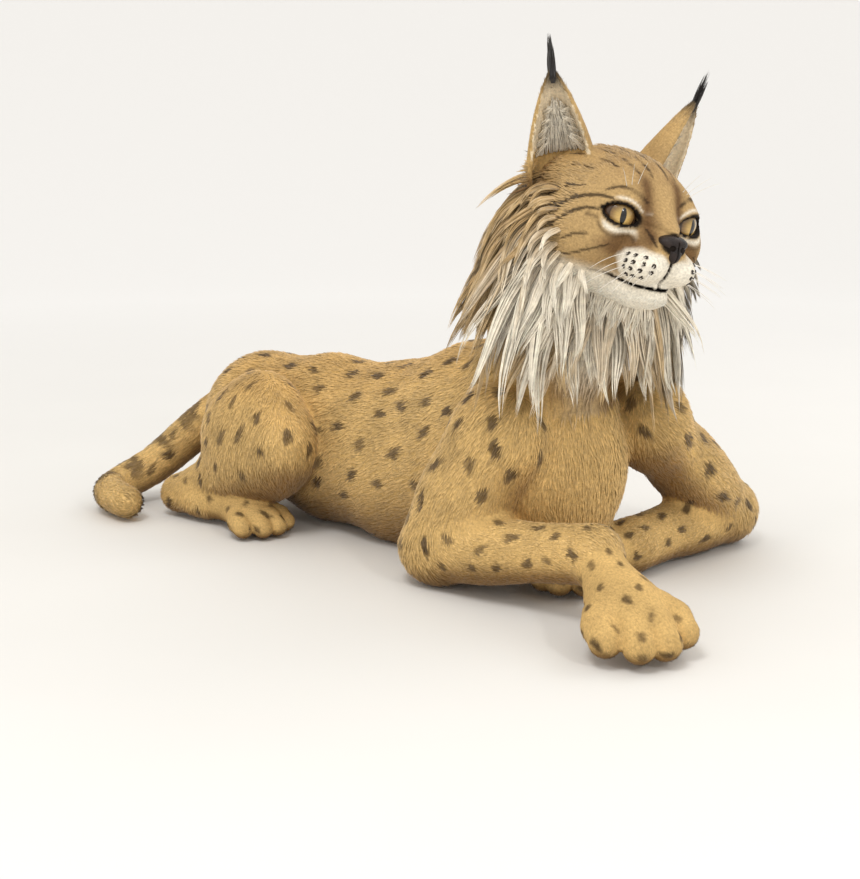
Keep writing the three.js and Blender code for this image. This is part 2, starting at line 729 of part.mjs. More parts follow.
node("nose", without(noseBody, [headFat, ...pair(nostril)]), dark, onHead(98, 0, -8));
for (const s of [1, -1]) {
  const tag = s > 0 ? "left" : "right";
  node("eye_" + tag, eyeball(s, 0), paint("#b98a35", 0.2), onHead(...eyeAt(s).toArray()));
  const earWhole = without(join([earSolid(s), ...earHair(s)]), [headFat, headLocks(GAP)]);
  node("ear_" + tag, earWhole, coat, onHead(-30, s * 48, 54));
}
node("neck", neckWhole, coat, V(190, 0, 230));

const lynx = new THREE.Group();
for (const mesh of Object.values(nodes)) lynx.add(mesh);

export default lynx;
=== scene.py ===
"""A Eurasian lynx at rest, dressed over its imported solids.

Skin, short coat, ruff, mane, throat, ear hair, eyes, nose and whiskers."""
import math
from types import SimpleNamespace

import bpy
import numpy as np
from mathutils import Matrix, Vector


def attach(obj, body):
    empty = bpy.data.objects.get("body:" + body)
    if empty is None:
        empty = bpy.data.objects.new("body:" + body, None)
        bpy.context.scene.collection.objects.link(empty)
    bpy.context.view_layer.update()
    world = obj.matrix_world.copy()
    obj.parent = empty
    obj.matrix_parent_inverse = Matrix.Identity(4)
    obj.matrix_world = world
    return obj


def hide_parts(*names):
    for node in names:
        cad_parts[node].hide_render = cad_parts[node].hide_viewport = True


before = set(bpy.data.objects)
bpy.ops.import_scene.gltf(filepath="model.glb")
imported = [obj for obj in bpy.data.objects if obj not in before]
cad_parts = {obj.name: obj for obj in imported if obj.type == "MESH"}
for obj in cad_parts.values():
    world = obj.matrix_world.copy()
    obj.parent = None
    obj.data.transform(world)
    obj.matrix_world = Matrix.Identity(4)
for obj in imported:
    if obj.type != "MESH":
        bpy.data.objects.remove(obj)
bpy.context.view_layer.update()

bl_info = {
    "name": "Resting Lynx",
    "version": (1, 0, 0),
    "blender": (4, 5, 0),
    "location": "3D View > Sidebar > Lynx",
    "description": "Skin, coat, ruff, mane, eyes, nose and whiskers of a life-size resting lynx",
    "category": "Object",
}

# Shapes are worked out in millimetres, in the frame of the solids, and made in metres. A field is a
# function of points that is below zero inside a form and rises outwards by about 1 a millimetre.
MM = 0.001
UP = np.array([0.0, 0.0, 1.0])
TAU = 2 * math.pi


def vec(*values):
    return np.array(values, float)


def size_of(v):
    return np.sqrt(np.einsum("...i,...i->...", v, v))


def unit(v):
    return v / np.maximum(size_of(v), 1e-9)[..., None]


def mix(a, b, t):
    return a + (b - a) * t


def step(low, high, value):
    """0 up to low, 1 from high on, and smooth between them."""
    t = np.clip((value - low) / (high - low), 0, 1)
    return t * t * (3 - 2 * t)


def linear(code):
    """A linear RGB colour from an sRGB hex value."""
    rgb = np.array([int(code[i : i + 2], 16) for i in (1, 3, 5)]) / 255
    return np.where(rgb <= 0.04045, rgb / 12.92, ((rgb + 0.055) / 1.055) ** 2.4)


# Fields
def spin(axis, degrees):
    """A turn about one axis."""
    c, s = math.cos(math.radians(degrees)), math.sin(math.radians(degrees))
    rows = {
        "x": [[1, 0, 0], [0, c, -s], [0, s, c]],
        "y": [[c, 0, s], [0, 1, 0], [-s, 0, c]],
        "z": [[c, -s, 0], [s, c, 0], [0, 0, 1]],
    }
    return np.array(rows[axis], float)


def egg(at, radii, turn=None):
    """An ellipsoid."""
    at, radii = np.array(at, float), np.array(radii, float)
    over = (np.eye(3) if turn is None else turn) / radii

    def field(p):
        q = (p - at) @ over
        near = size_of(q)
        return near * (near - 1) / np.maximum(size_of(q / radii), 1e-6)

    return field


def rod(a, b, ra, rb):
    """A round rod with rounded ends, from radius ra at a to rb at b."""
    a, b = np.array(a, float), np.array(b, float)
    along = b - a
    size = along @ along

    def field(p):
        q = p - a
        t = np.clip(q @ along / size, 0, 1)
        return size_of(q - t[:, None] * along) - mix(ra, rb, t)

    return field


def muscle(a, b, over, wide, thin, side):
    """An ellipsoid from a to b and past both by over, thin towards side and wide across it."""
    a, b = np.array(a, float), np.array(b, float)
    x = unit(b - a)
    z = unit(side - x * (side @ x))
    turn = np.stack([x, np.cross(z, x), z], 1)
    return egg((a + b) / 2, (np.linalg.norm(b - a) / 2 + over, wide, thin), turn)


def soft_min(a, b, k):
    """The lower of two fields' values, filled out where they are less than k apart."""
    h = np.maximum(k - np.abs(a - b), 0) / k
    return np.minimum(a, b) - h * h * k / 4


def soft(k, *fields):
    """Forms joined with a fillet of about k."""

    def field(p):
        d = fields[0](p)
        for other in fields[1:]:
            d = soft_min(d, other(p), k)
        return d

    return field


def bounded(field, at, reach):
    """The field near a place, and a rough distance elsewhere."""
    at = np.array(at, float)

    def near(p):
        out = size_of(p - at) - reach
        close = out < 0
        out += 50
        if close.any():
            out[close] = field(p[close])
        return out

    return near


def slope(field, p, d=0.6):
    """The way and the rate at which a field rises."""
    grad = np.empty_like(p)
    for axis in range(3):
        move = np.zeros(3)
        move[axis] = d
        grad[:, axis] = field(p + move) - field(p - move)
    return grad / (2 * d)


# Body
HEAD_AT = vec(294, -54, 415)
HEAD_SIZE = 1.15
HEAD_TURN = spin("z", -22) @ spin("y", 6) @ spin("x", -9)
CHEST_TURN = spin("z", -20)
# Eyes and lids, in the head's frame. The lids' angles are seen from the middle of the eye.
EYE_AT = vec(48.5, 33, 12)
EYE_R = 18.0
EYE_TURN = 20
LID_SPAN = 54
LID_UPPER, LID_LOWER, LID_TILT = 27, 22, 9
LID_ARCH = 0.62
LID_THICK = 2.3
EYE_CLEAR = 0.25
# Ears, in their own frame: +x out of the cup and +z to the tip
EAR_AT = vec(-30, 50, 52)
EAR_HIGH, EAR_WIDE, EAR_DEEP, EAR_WALL = 78.0, 66.0, 32.0, 4.8
# How far the skin of the face lies inside the solid, at the cheeks and at the muzzle
FACE_DEPTH = (3.6, 2.0)
JOINTS = {
    "shoulder_right": vec(172, -82, 182),
    "elbow_right": vec(104, -112, 42),
    "wrist_right": vec(322, -120, 76),
    "paw_right": vec(456, -203, 0),
    "shoulder_left": vec(246, 98, 182),
    "elbow_left": vec(268, 264, 42),
    "wrist_left": vec(256, 62, 36),
    "paw_left": vec(230, -86, 0),
    "hip_right": vec(-312, -28, 140),
    "knee_right": vec(-168, -92, 122),
    "heel_right": vec(-372, -88, 30),
    "toes_right": vec(-168, -104, 18),
}
for joint in ("hip", "knee", "heel", "toes"):
    JOINTS[joint + "_left"] = JOINTS[joint + "_right"] * vec(1, -1, 1) + vec(0, 60, 0)
TAIL = [
    (-372, 28, 150),
    (-424, 2, 108),
    (-464, -52, 54),
    (-480, -104, 30),
    (-456, -142, 27),
    (-402, -158, 26),
]
TAIL_STEPS = 15
TAIL_ROOT, TAIL_END = 36, 27


def curve(points, count):
    """Evenly spaced points on a smooth line through the given ones."""
    points = np.array(points, float)
    ends = np.vstack([2 * points[0] - points[1], points, 2 * points[-1] - points[-2]])
    line = []
    for i in range(len(points) - 1):
        a, b, c, d = ends[i : i + 4]
        for t in np.linspace(0, 1, 16, endpoint=False):
            square = (2 * a - 5 * b + 4 * c - d) * t**2
            cube = (3 * b - a - 3 * c + d) * t**3
            line.append(0.5 * (2 * b + (c - a) * t + square + cube))
    line = np.array(line + [points[-1]])
    far = np.concatenate([[0], np.cumsum(np.linalg.norm(np.diff(line, axis=0), axis=1))])
    want = np.linspace(0, far[-1], count)
    return np.stack([np.interp(want, far, line[:, i]) for i in range(3)], 1)


def foot(tip, yaw, nod, width, length, height, toe, ankle):
    """A paw of four toes. Tip is on the floor in front of it, and toe is the radius of a toe."""
    turn = spin("z", yaw) @ spin("y", nod)

    def place(x, y, z):
        return tip + turn @ vec(x, y, z)

    pad = egg(place(-length * 0.72, 0, height * 0.52), (length * 0.52, width * 0.4, height * 0.52), turn)
    palm = soft(20, pad, rod(place(-length * 0.85, 0, height * 0.6), ankle, height * 0.5, height * 0.52))
    toes = []
    for k in (-1.5, -0.5, 0.5, 1.5):
        y = k * width / 4.1
        back = length * 0.17 if abs(k) > 1 else 0
        start = place(-length * 0.62 - back * 0.3, y * 0.8, height * 0.5)
        knuckle = place(-length * 0.36 - back, y * 0.98, height * 0.46)
        end = place(-toe - back, y * 1.02, toe * 0.98)
        upper = rod(start, knuckle, toe * 1.05, toe * 1.02)
        toes.append(soft(6, upper, rod(knuckle, end, toe * 0.98, toe * 0.98)))
    return soft(7, palm, lambda p: np.minimum.reduce([f(p) for f in toes]))


def body_fields():
    """The same muscles as the solids', by the name of the part of the body that they make."""
    j = JOINTS
    fields = {}
    fields["trunk"] = soft(
        50,
        egg((-314, 30, 122), (100, 90, 100)),
        egg((-190, 32, 112), (118, 88, 118)),
        egg((-50, 32, 108), (128, 102, 126)),
        egg((66, 22, 134), (116, 106, 136), spin("z", -8)),
        egg((156, 4, 152), (92, 100, 140), CHEST_TURN),
        egg((200, -6, 130), (66, 78, 96), CHEST_TURN),
    )
    fields["neck"] = soft(
        40,
        rod((170, 0, 210), (254, -38, 388), 84, 74),
        egg((206, -26, 326), (86, 74, 96), CHEST_TURN),
    )
    for side, out in (("right", vec(-0.2, -1, 0.1)), ("left", vec(0.5, 1, 0.1))):
        shoulder, elbow, wrist = (j[name + side] for name in ("shoulder_", "elbow_", "wrist_"))
        fields["arm_" + side] = soft(
            34,
            muscle(shoulder, elbow, 34, 66, 50, out),
            egg(elbow, (37, 37, 37)),
            egg(shoulder, (66, 50, 62), CHEST_TURN),
        )
        fields["forearm_" + side] = soft(
            22,
            muscle(elbow, mix(elbow, wrist, 0.6), 22, 42, 37, UP),
            rod(elbow, wrist, 37, 36),
            egg(elbow - unit(wrist - elbow) * 26, (24, 24, 24)),
        )
    fields["paw_right"] = foot(j["paw_right"], -32, 10, 110, 108, 58, 21, j["wrist_right"])
    fields["paw_left"] = foot(j["paw_left"], -97, 0, 90, 108, 58, 21, j["wrist_left"])
    for side, s in (("right", -1), ("left", 1)):
        hip, knee, heel, toes = (j[name + side] for name in ("hip_", "knee_", "heel_", "toes_"))

        def at(x, y, z):
            return vec(x, y if s < 0 else 60 - y, z)

        fields["thigh_" + side] = soft(
            36,
            muscle(hip, knee, 26, 80, 50, vec(0, s, 0.15)),
            egg(at(-240, -68, 112), (98, 50, 78)),
            rod(knee, at(-300, -80, 56), 34, 30),
        )
        fields["shank_" + side] = soft(
            16,
            rod(heel, mix(heel, toes, 0.3), 27, 24),
            rod(heel, at(-300, -78, 66), 27, 36),
        )
        way = toes - heel
        yaw = math.degrees(math.atan2(way[1], way[0])) - 8
        fields["sole_" + side] = foot(toes * vec(1, 1, 0), yaw, 0, 84, 84, 46, 16, mix(heel, toes, 0.2))
    line = curve(TAIL, TAIL_STEPS)
    radii = [mix(TAIL_ROOT, TAIL_END, i / (TAIL_STEPS - 1)) for i in range(TAIL_STEPS)]
    rods = [rod(*ends) for ends in zip(line, line[1:], radii, radii[1:])]
    fields["tail"] = lambda p: np.minimum.reduce([f(p) for f in rods])
    return fields


FIELDS = body_fields()
# How far the skin lies inside the solids, which is how thick the lying coat is
DEPTH = {
    "trunk": 5,
    "neck": 10,
    "arm": 5,
    "forearm": 4.5,
    "paw": 3.4,
    "thigh": 5,
    "shank": 4.5,
    "sole": 3,
    "tail": 6,
}


def under(name):
    """The skin under the coat of one part of the body."""
    return lambda p: FIELDS[name](p) + DEPTH[name.split("_")[0]]


def body_skin():
    """Trunk, neck, tail and legs. The crossed forelegs join the trunk and not each other."""
    hinds = []
    for s, y in (("right", -60), ("left", 120)):
        leg = soft(8, soft(12, under("thigh_" + s), under("shank_" + s)), under("sole_" + s))
        hinds.append(bounded(leg, (-265, y, 100), 250))
    tail = bounded(under("tail"), (-430, -60, 80), 200)
    neck = bounded(under("neck"), (215, -20, 310), 250)
    torso = soft(9, soft(24, under("trunk"), neck), *hinds, tail)
    right_arm = bounded(under("arm_right"), (130, -90, 110), 230)
    left_arm = bounded(under("arm_left"), (256, 160, 110), 230)
    torso = soft(10, torso, right_arm, left_arm)
    right = bounded(soft(12, under("forearm_right"), under("paw_right")), (280, -140, 50), 290)
    left = bounded(soft(12, under("forearm_left"), under("paw_left")), (256, 90, 40), 290)

    def field(p):
        middle = torso(p)
        return np.minimum(*[soft_min(middle, leg(p), 14) for leg in (right, left)])

    return field


# Head, in its own frame: +x out of the nose
def to_head(p):
    return (p - HEAD_AT) @ HEAD_TURN / HEAD_SIZE


def from_head(q):
    return HEAD_AT + (np.asarray(q, float) * HEAD_SIZE) @ HEAD_TURN.T


def pair(make):
    """What is made for the left side, s = 1, and for the right, s = -1."""
    return [make(1), make(-1)]


def eye_place(s):
    return EYE_AT * vec(1, s, 1)


def in_eye(q, s):
    """Forward, outward and upward from the middle of an eye."""
    e = (q - eye_place(s)) @ spin("z", EYE_TURN * s)
    return e * vec(1, s, 1)


def lid_opening(q, s):
    """Below zero inside the almond between the lids, and how far a point is outside it."""
    e = in_eye(q, s)
    across = np.degrees(np.arctan2(e[:, 1], e[:, 0])) / LID_SPAN
    lift = np.degrees(np.arctan2(e[:, 2], np.hypot(e[:, 0], e[:, 1])))
    arch = np.clip(1 - across**2, 0, 1) ** LID_ARCH
    tilt = LID_TILT * across
    upper = tilt + LID_UPPER * arch * (1 - 0.14 * across)
    lower = tilt - LID_LOWER * arch * (1 + 0.12 * across)
    gap = np.maximum(lift - upper, lower - lift) * EYE_R * math.pi / 180
    side = (np.abs(across) - 1) * LID_SPAN * EYE_R * math.pi / 180
    behind = 12.0
    return np.where(e[:, 0] > 0, np.maximum(gap, side), behind)


def mouth_height(x):
    """Height of the line between the lips."""
    return -45 + 0.0032 * (88 - x) ** 2


def face_field():
    """Skull, cheeks, brow, muzzle, jaw and lip pads, at the size of the solid."""
    skull = soft(
        26,
        egg((-20, 0, 14), (78, 69, 57)),
        egg((20, 0, 26), (46, 46, 32)),
        *pair(lambda s: egg((20, s * 44, -8), (48, 28, 32))),
        *pair(lambda s: egg((-12, s * 44, -34), (54, 32, 40))),
    )
    face = soft(
        14,
        skull,
        rod((36, 0, 20), (86, 0, -5), 28, 16),
        *pair(lambda s: egg((40, s * 27, 30), (22, 18, 12))),
        egg((64, 0, -20), (32, 30, 25)),
        egg((64, 0, -52), (29, 22, 15)),
        *pair(lambda s: rod((58, s * 8, -50), (0, s * 34, -44), 15, 24)),
    )
    return soft(5, face, *pair(lambda s: egg((76, s * 16, -26), (27, 21, 18))))


def head_skin():
    """The face under its short coat, with lids, lips and the split of the upper lip."""
    bare = face_field()
    mouth_corner, mouth_deep, mouth_half_open = 46, 5, 0.8
    split_from, split_deep, split_half_wide = 78, 2.2, 1.0

    def field(q):
        d = bare(q) + mix(*FACE_DEPTH, step(0, 60, q[:, 0]))
        for s in (1, -1):
            e = in_eye(q, s)
            far = size_of(e)
            lid = far - (EYE_R + LID_THICK)
            hood = np.where(e[:, 2] > 0, 0.7 * np.exp(-(((e[:, 2] - 11) / 5) ** 2)), 0)
            lid = np.where(e[:, 0] > -2, lid - hood, lid + 6)
            d = soft_min(d, lid, 7)
            socket = np.minimum(far - (EYE_R + EYE_CLEAR), np.maximum(lid_opening(q, s), -e[:, 0]))
            d = np.maximum(d, -socket)
        lips = mouth_height(q[:, 0])
        slit = np.abs(q[:, 2] - lips) - mouth_half_open * step(46, 62, q[:, 0])
        slit = np.maximum(slit, mouth_corner - q[:, 0])
        d = np.maximum(d, -np.maximum(slit, -(d + mouth_deep)))
        split = np.abs(q[:, 1]) - split_half_wide
        split = np.maximum(split, np.maximum(q[:, 2] + 14, lips - q[:, 2]))
        split = np.maximum(split, split_from - q[:, 0])
        return np.maximum(d, -np.maximum(split, -(d + split_deep)))

    return field


def ear_turn(s):
    return spin("x", -24 * s) @ spin("y", 4) @ spin("z", 34 * s)


def in_ear(q, s):
    """Points of the head's frame in the frame of an ear."""
    return (q - EAR_AT * vec(1, s, 1)) @ ear_turn(s)


def on_ear(s, e):
    """Points of an ear's frame in the frame of the head."""
    return EAR_AT * vec(1, s, 1) + np.asarray(e, float) @ ear_turn(s).T


def ear_parts(e):
    """Height as a share, distance outside the ear's outer face, how far to the front, and depth."""
    t = np.clip((e[:, 2] + 14) / (EAR_HIGH + 14), 0, 1)
    narrow = (1 - t) ** 0.8 * (1 + 0.35 * t) + 0.03
    w, d = EAR_WIDE / 2 * narrow, EAR_DEEP * (1 - t) ** 0.7 * 0.9 + 2.5
    x, y = (e[:, 0] - 0.4 * d) / d, e[:, 1] / w
    near = np.hypot(x, y)
    steep = np.hypot(x / d, y / w)
    return t, near * (near - 1) / np.maximum(steep, 1e-6), x / np.maximum(near, 1e-6), d


def ear_skin(s):
    """The wall of an ear, a cone that is open in front."""

    def field(q):
        e = in_ear(q, s)
        t, out, front, d = ear_parts(e)
        wall = EAR_WALL * mix(1, 0.6, t)
        sheet = np.abs(out + wall / 2 + 0.5) - wall / 2
        sheet = np.maximum(sheet, (front - 0.34) * d)
        return np.maximum(sheet, np.maximum(e[:, 2] - EAR_HIGH + 3, -22 - e[:, 2]))

    return field


def whole_skin():
    """One skin over the whole animal, flat where it rests on the floor."""
    body = body_skin()
    head = head_skin()
    parts = soft(6, head, *pair(lambda s: bounded(ear_skin(s), (-34, s * 62, 82), 85)))
    on_world = bounded(lambda p: parts(to_head(p)) * HEAD_SIZE, HEAD_AT + vec(0, 0, 20), 190)
    whole = soft(12, body, on_world)
    return lambda p: np.maximum(whole(p), 1.5 - p[:, 2])


# Meshes from fields
CUBE = np.array([[i, k, m] for i in (0, 1) for k in (0, 1) for m in (0, 1)])
CUBE_EDGES = [(a, b) for a in range(8) for b in range(a + 1, 8) if abs(CUBE[a] - CUBE[b]).sum() == 1]
BLOCK = 4


def rising(*stretches):
    """Grid values from (start, end, spacing) stretches that follow on each other."""
    values = []
    for start, end, gap in stretches:
        values += list(np.linspace(start, end, max(1, round((end - start) / gap)), endpoint=False))
    values.append(stretches[-1][1])
    while len(values) % BLOCK:
        values.append(2 * values[-1] - values[-2])
    return np.array(values)


def surface_net(field, axes):
    """Points and outward four-sided faces where the field is zero."""
    cells = [a.reshape(-1, BLOCK) for a in axes]
    mids = [c.mean(1) for c in cells]
    spans = [(c[:, -1] - c[:, 0]) * (BLOCK / (BLOCK - 1)) / 2 for c in cells]
    centres = np.stack(np.meshgrid(*mids, indexing="ij"), -1).reshape(-1, 3)
    reach = np.linalg.norm(np.stack(np.meshgrid(*spans, indexing="ij"), -1).reshape(-1, 3), axis=1)
    rough = many(field, centres)
    shape = [len(m) for m in mids]
    value = rough.reshape(shape).astype(np.float32)
    for axis in range(3):
        value = np.repeat(value, BLOCK, axis)
    near = np.argwhere((np.abs(rough) < reach * 1.5 + 5).reshape(shape)) * BLOCK
    inner = np.stack(np.meshgrid(*[np.arange(BLOCK)] * 3, indexing="ij"), -1).reshape(-1, 3)
    index = (near[:, None] + inner[None]).reshape(-1, 3)
    points = np.stack([axes[i][index[:, i]] for i in range(3)], 1)
    value[tuple(index.T)] = many(field, points)
    inside = value < 0
    count = np.zeros([n - 1 for n in inside.shape], np.uint8)
    for i, k, m in CUBE:
        count += inside[i : i + count.shape[0], k : k + count.shape[1], m : m + count.shape[2]]
    where = np.argwhere((count > 0) & (count < 8))
    number = np.full(count.shape, -1, np.int32)
    number[tuple(where.T)] = np.arange(len(where))
    corner = where[:, None] + CUBE[None]
    level = value[corner[..., 0], corner[..., 1], corner[..., 2]].astype(float)
    place = np.stack([axes[i][corner[..., i]] for i in range(3)], -1)
    total, hits = np.zeros((len(where), 3)), np.zeros(len(where))
    for a, b in CUBE_EDGES:
        cross = (level[:, a] < 0) != (level[:, b] < 0)
        t = np.where(cross, level[:, a] / np.where(cross, level[:, a] - level[:, b], 1), 0)
        total += cross[:, None] * mix(place[:, a], place[:, b], t[:, None])
        hits += cross
    verts = total / hits[:, None]
    faces = []
    for axis in range(3):
        u, v = np.eye(3, dtype=int)[(axis + 1) % 3], np.eye(3, dtype=int)[(axis + 2) % 3]
        first = np.take(inside, range(inside.shape[axis] - 1), axis)
        second = np.take(inside, range(1, inside.shape[axis]), axis)
        at = np.argwhere(first != second)
        fits = np.all(at - u - v >= 0, axis=1) & np.all(at < np.array(count.shape), axis=1)
        at = at[fits]
        quad = np.stack([number[tuple((at - move).T)] for move in (u + v, v, 0 * u, u)], 1)
        quad = np.where(first[tuple(at.T)][:, None], quad, quad[:, ::-1])
        faces.append(quad)
    faces = np.concatenate(faces)
    faces = faces[(faces >= 0).all(1)]
    gaps = [np.interp(verts[:, i], a[:-1], np.diff(a)) for i, a in enumerate(axes)]
    most = np.minimum.reduce(gaps)[:, None]
    for _ in range(2):
        grad = slope(field, verts)
        move = -grad * (many(field, verts) / np.maximum((grad**2).sum(1), 0.2))[:, None]
        size = np.linalg.norm(move, axis=1, keepdims=True)
        verts = verts + move * np.minimum(1, 0.5 * most / np.maximum(size, 1e-9))
    return largest(verts, faces)


def many(field, points, most=200000):
    """A field's values, worked out for a part of the points at a time."""
    return np.concatenate([field(points[i : i + most]) for i in range(0, len(points), most)])


def largest(verts, faces):
    """The largest connected part of a mesh."""
    label = np.arange(len(verts))
    while True:
        low = label[faces].min(1)
        before = label.copy()
        for i in range(faces.shape[1]):
            np.minimum.at(label, faces[:, i], low)
        label = label[label]
        if (label == before).all():
            break
    names, counts = np.unique(label[faces[:, 0]], return_counts=True)
    keep = label == names[counts.argmax()]
    number = np.cumsum(keep) - 1
    return verts[keep], number[faces[keep[faces[:, 0]]]]


def point_normals(verts, faces):
    """Outward directions at the points of a mesh of four-sided faces."""
    a, b, c, d = (verts[faces[:, i]] for i in range(4))
    flat = np.cross(c - a, d - b)
    total = np.zeros_like(verts)
    for i in range(4):
        np.add.at(total, faces[:, i], flat)
    return unit(total)


# Each part of the body: the line its hair follows and is unrolled round, from and to,
# and its rectangle (left, bottom, right, top) on the unwrap
PARTS = {
    "trunk": ((190, 0, 150), (-380, 30, 140), (0, 0, 0.6, 0.4)),
    "head": ((110, 0, -10), (-100, 0, 10), (0.6, 0, 1, 0.4)),
    "neck": ((270, -42, 400), (170, 0, 200), (0, 0.4, 0.3, 0.6)),
    "arm_right": (JOINTS["shoulder_right"], JOINTS["elbow_right"], (0.3, 0.4, 0.5, 0.6)),
    "arm_left": (JOINTS["shoulder_left"], JOINTS["elbow_left"], (0.5, 0.4, 0.7, 0.6)),
    "forearm_right": (JOINTS["elbow_right"], JOINTS["wrist_right"], (0.7, 0.4, 0.85, 0.6)),
    "forearm_left": (JOINTS["elbow_left"], JOINTS["wrist_left"], (0.85, 0.4, 1, 0.6)),
    "paw_right": (JOINTS["wrist_right"], JOINTS["paw_right"], (0, 0.6, 0.2, 0.8)),
    "paw_left": (JOINTS["wrist_left"], JOINTS["paw_left"], (0.2, 0.6, 0.4, 0.8)),
    "thigh_right": ((-318, -70, 170), (-200, -80, 60), (0.4, 0.6, 0.7, 0.8)),
    "thigh_left": ((-318, 130, 170), (-200, 140, 60), (0.7, 0.6, 1, 0.8)),
    "shank_right": ((-290, -78, 66), JOINTS["heel_right"], (0, 0.8, 0.15, 1)),
    "shank_left": ((-290, 138, 66), JOINTS["heel_left"], (0.15, 0.8, 0.3, 1)),
    "sole_right": (JOINTS["heel_right"], JOINTS["toes_right"], (0.3, 0.8, 0.5, 1)),
    "sole_left": (JOINTS["heel_left"], JOINTS["toes_left"], (0.5, 0.8, 0.7, 1)),
    "tail": ((-372, 28, 150), (-430, -150, 30), (0.7, 0.8, 1, 1)),
}
NAMES = list(PARTS)
KINDS = [name.split("_")[0] for name in NAMES]
HEAD_PART, NECK_PART = NAMES.index("head"), NAMES.index("neck")


def per_part(values, part):
    """The value of each point's part of the body, from a value for each kind of part."""
    return np.array([values[kind] for kind in KINDS])[part]


def part_distances(p):
    """How far each point is outside each part of the body."""
    head = face_field()
    columns = []
    for name in NAMES:
        if name == "head":
            q = to_head(p)
            near_ears = [in_ear(q, s) * vec(1, 1, 0.5) - vec(0, 0, 22) for s in (1, -1)]
            ears = np.minimum(*[np.linalg.norm(e, axis=1) - 30 for e in near_ears])
            columns.append(np.minimum(head(q) * HEAD_SIZE, ears))
        else:
            columns.append(FIELDS[name](p))
    return np.stack(columns, 1)


def lie_of_coat(p, normal, far):
    """The way that the hair points, along the skin."""
    weight = np.exp(-(far - far.min(1, keepdims=True)) / 14)
    way = np.zeros_like(p)
    for i, name in enumerate(NAMES):
        start, end, _ = PARTS[name]
        line = np.broadcast_to(unit(np.array(end, float) - np.array(start, float)), p.shape)
        if name == "trunk":
            front = step(150, 215, p[:, 0])[:, None]
            line = mix(vec(-1, 0, -0.12), vec(0.1, 0, -1), front)
            line = unit(line + vec(0, 0, -0.35) * (1 - np.abs(normal[:, 2:])))
        elif name == "neck":
            line = unit(vec(-0.25, 0.1, -1) + normal * 0)
        elif name == "head":
            q = to_head(p)
            away = unit(q - vec(96, 0, -6)) + vec(-0.35, 0, -0.1)
            line = away @ HEAD_TURN.T
            for s in (1, -1):
                e = in_ear(q, s)
                on = step(-6, 14, e[:, 2]) * (np.abs(e[:, 1]) < 46) * (e[:, 0] > -50) * (e[:, 0] < 40)
                rise = (ear_turn(s) @ UP) @ HEAD_TURN.T
                line = mix(line, rise, on[:, None])
        elif name == "tail":
            spine = curve(TAIL, TAIL_STEPS)
            nearest = np.linalg.norm(p[:, None] - spine[None, :-1], axis=2).argmin(1) if len(p) else 0
            line = unit(np.diff(spine, axis=0))[nearest]
        elif name.startswith("thigh"):
            line = np.broadcast_to(unit(vec(0.1, 0, -1)), p.shape)
        way += weight[:, i : i + 1] * line
    way -= normal * (way * normal).sum(1, keepdims=True)
    return unit(way)


def atlas(p, centre, part):
    """Places on the unwrap, rolled round the line of each part.

    Centre is the middle of each point's face, and keeps the face on one side of the seam."""
    uv = np.zeros((len(p), 2))
    edge = 0.004
    for i, name in enumerate(NAMES):
        on = part == i
        if not on.any():
            continue
        start, end, (left, bottom, right, top) = PARTS[name]
        q, m = (to_head(p[on]), to_head(centre[on])) if name == "head" else (p[on], centre[on])
        start, line = np.array(start, float), np.array(end, float) - np.array(start, float)
        size = np.linalg.norm(line)
        x = line / size
        y = unit(np.cross(UP if abs(x[2]) < 0.9 else vec(0, 1, 0), x))
        z = np.cross(x, y)
        angle = np.arctan2((q - start) @ y, -(q - start) @ z)
        middle = np.arctan2((m - start) @ y, -(m - start) @ z)
        angle = middle + (angle - middle + math.pi) % TAU - math.pi
        along = np.clip(((q - start) @ x / size + 0.45) / 1.9, 0, 1)
        around = np.clip(0.5 + angle / TAU * 0.92, 0.005, 0.995)
        uv[on, 0] = mix(left + edge, right - edge, around)
        uv[on, 1] = mix(bottom + edge, top - edge, along)
    return uv


# Markings
def noise(p, size, seed):
    """Smooth random values from -1 to 1 that change over about size."""
    rng = np.random.default_rng(seed)
    total = np.zeros(len(p))
    for _ in range(6):
        way = unit(rng.normal(size=3)) * TAU / size * rng.uniform(0.6, 1.4)
        total += np.sin(p @ way + rng.uniform(0, TAU))
    return total / 3


HEAD_CENTRE = vec(10, 0, 0)


def line_mark(q, points, wide, tips=0.35):
    """1 on a stripe that runs over the face through points in the head's frame, with narrow ends."""
    ray = q - HEAD_CENTRE
    size = size_of(ray)
    way = ray / size[:, None]
    line = unit(curve(points, 12) - HEAD_CENTRE)
    best = np.full(len(q), 9.0)
    for i, (a, b) in enumerate(zip(line, line[1:])):
        ab = b - a
        t = np.clip(((way - a) @ ab) / (ab @ ab), 0, 1)
        s = (i + t) / 11
        here = wide * (tips + (1 - tips) * np.sin(math.pi * np.clip(s, 0.02, 0.98)) ** 0.6)
        best = np.minimum(best, size_of(way - a - t[:, None] * ab) * size / here)
    return 1 - step(0.6, 1.15, best)


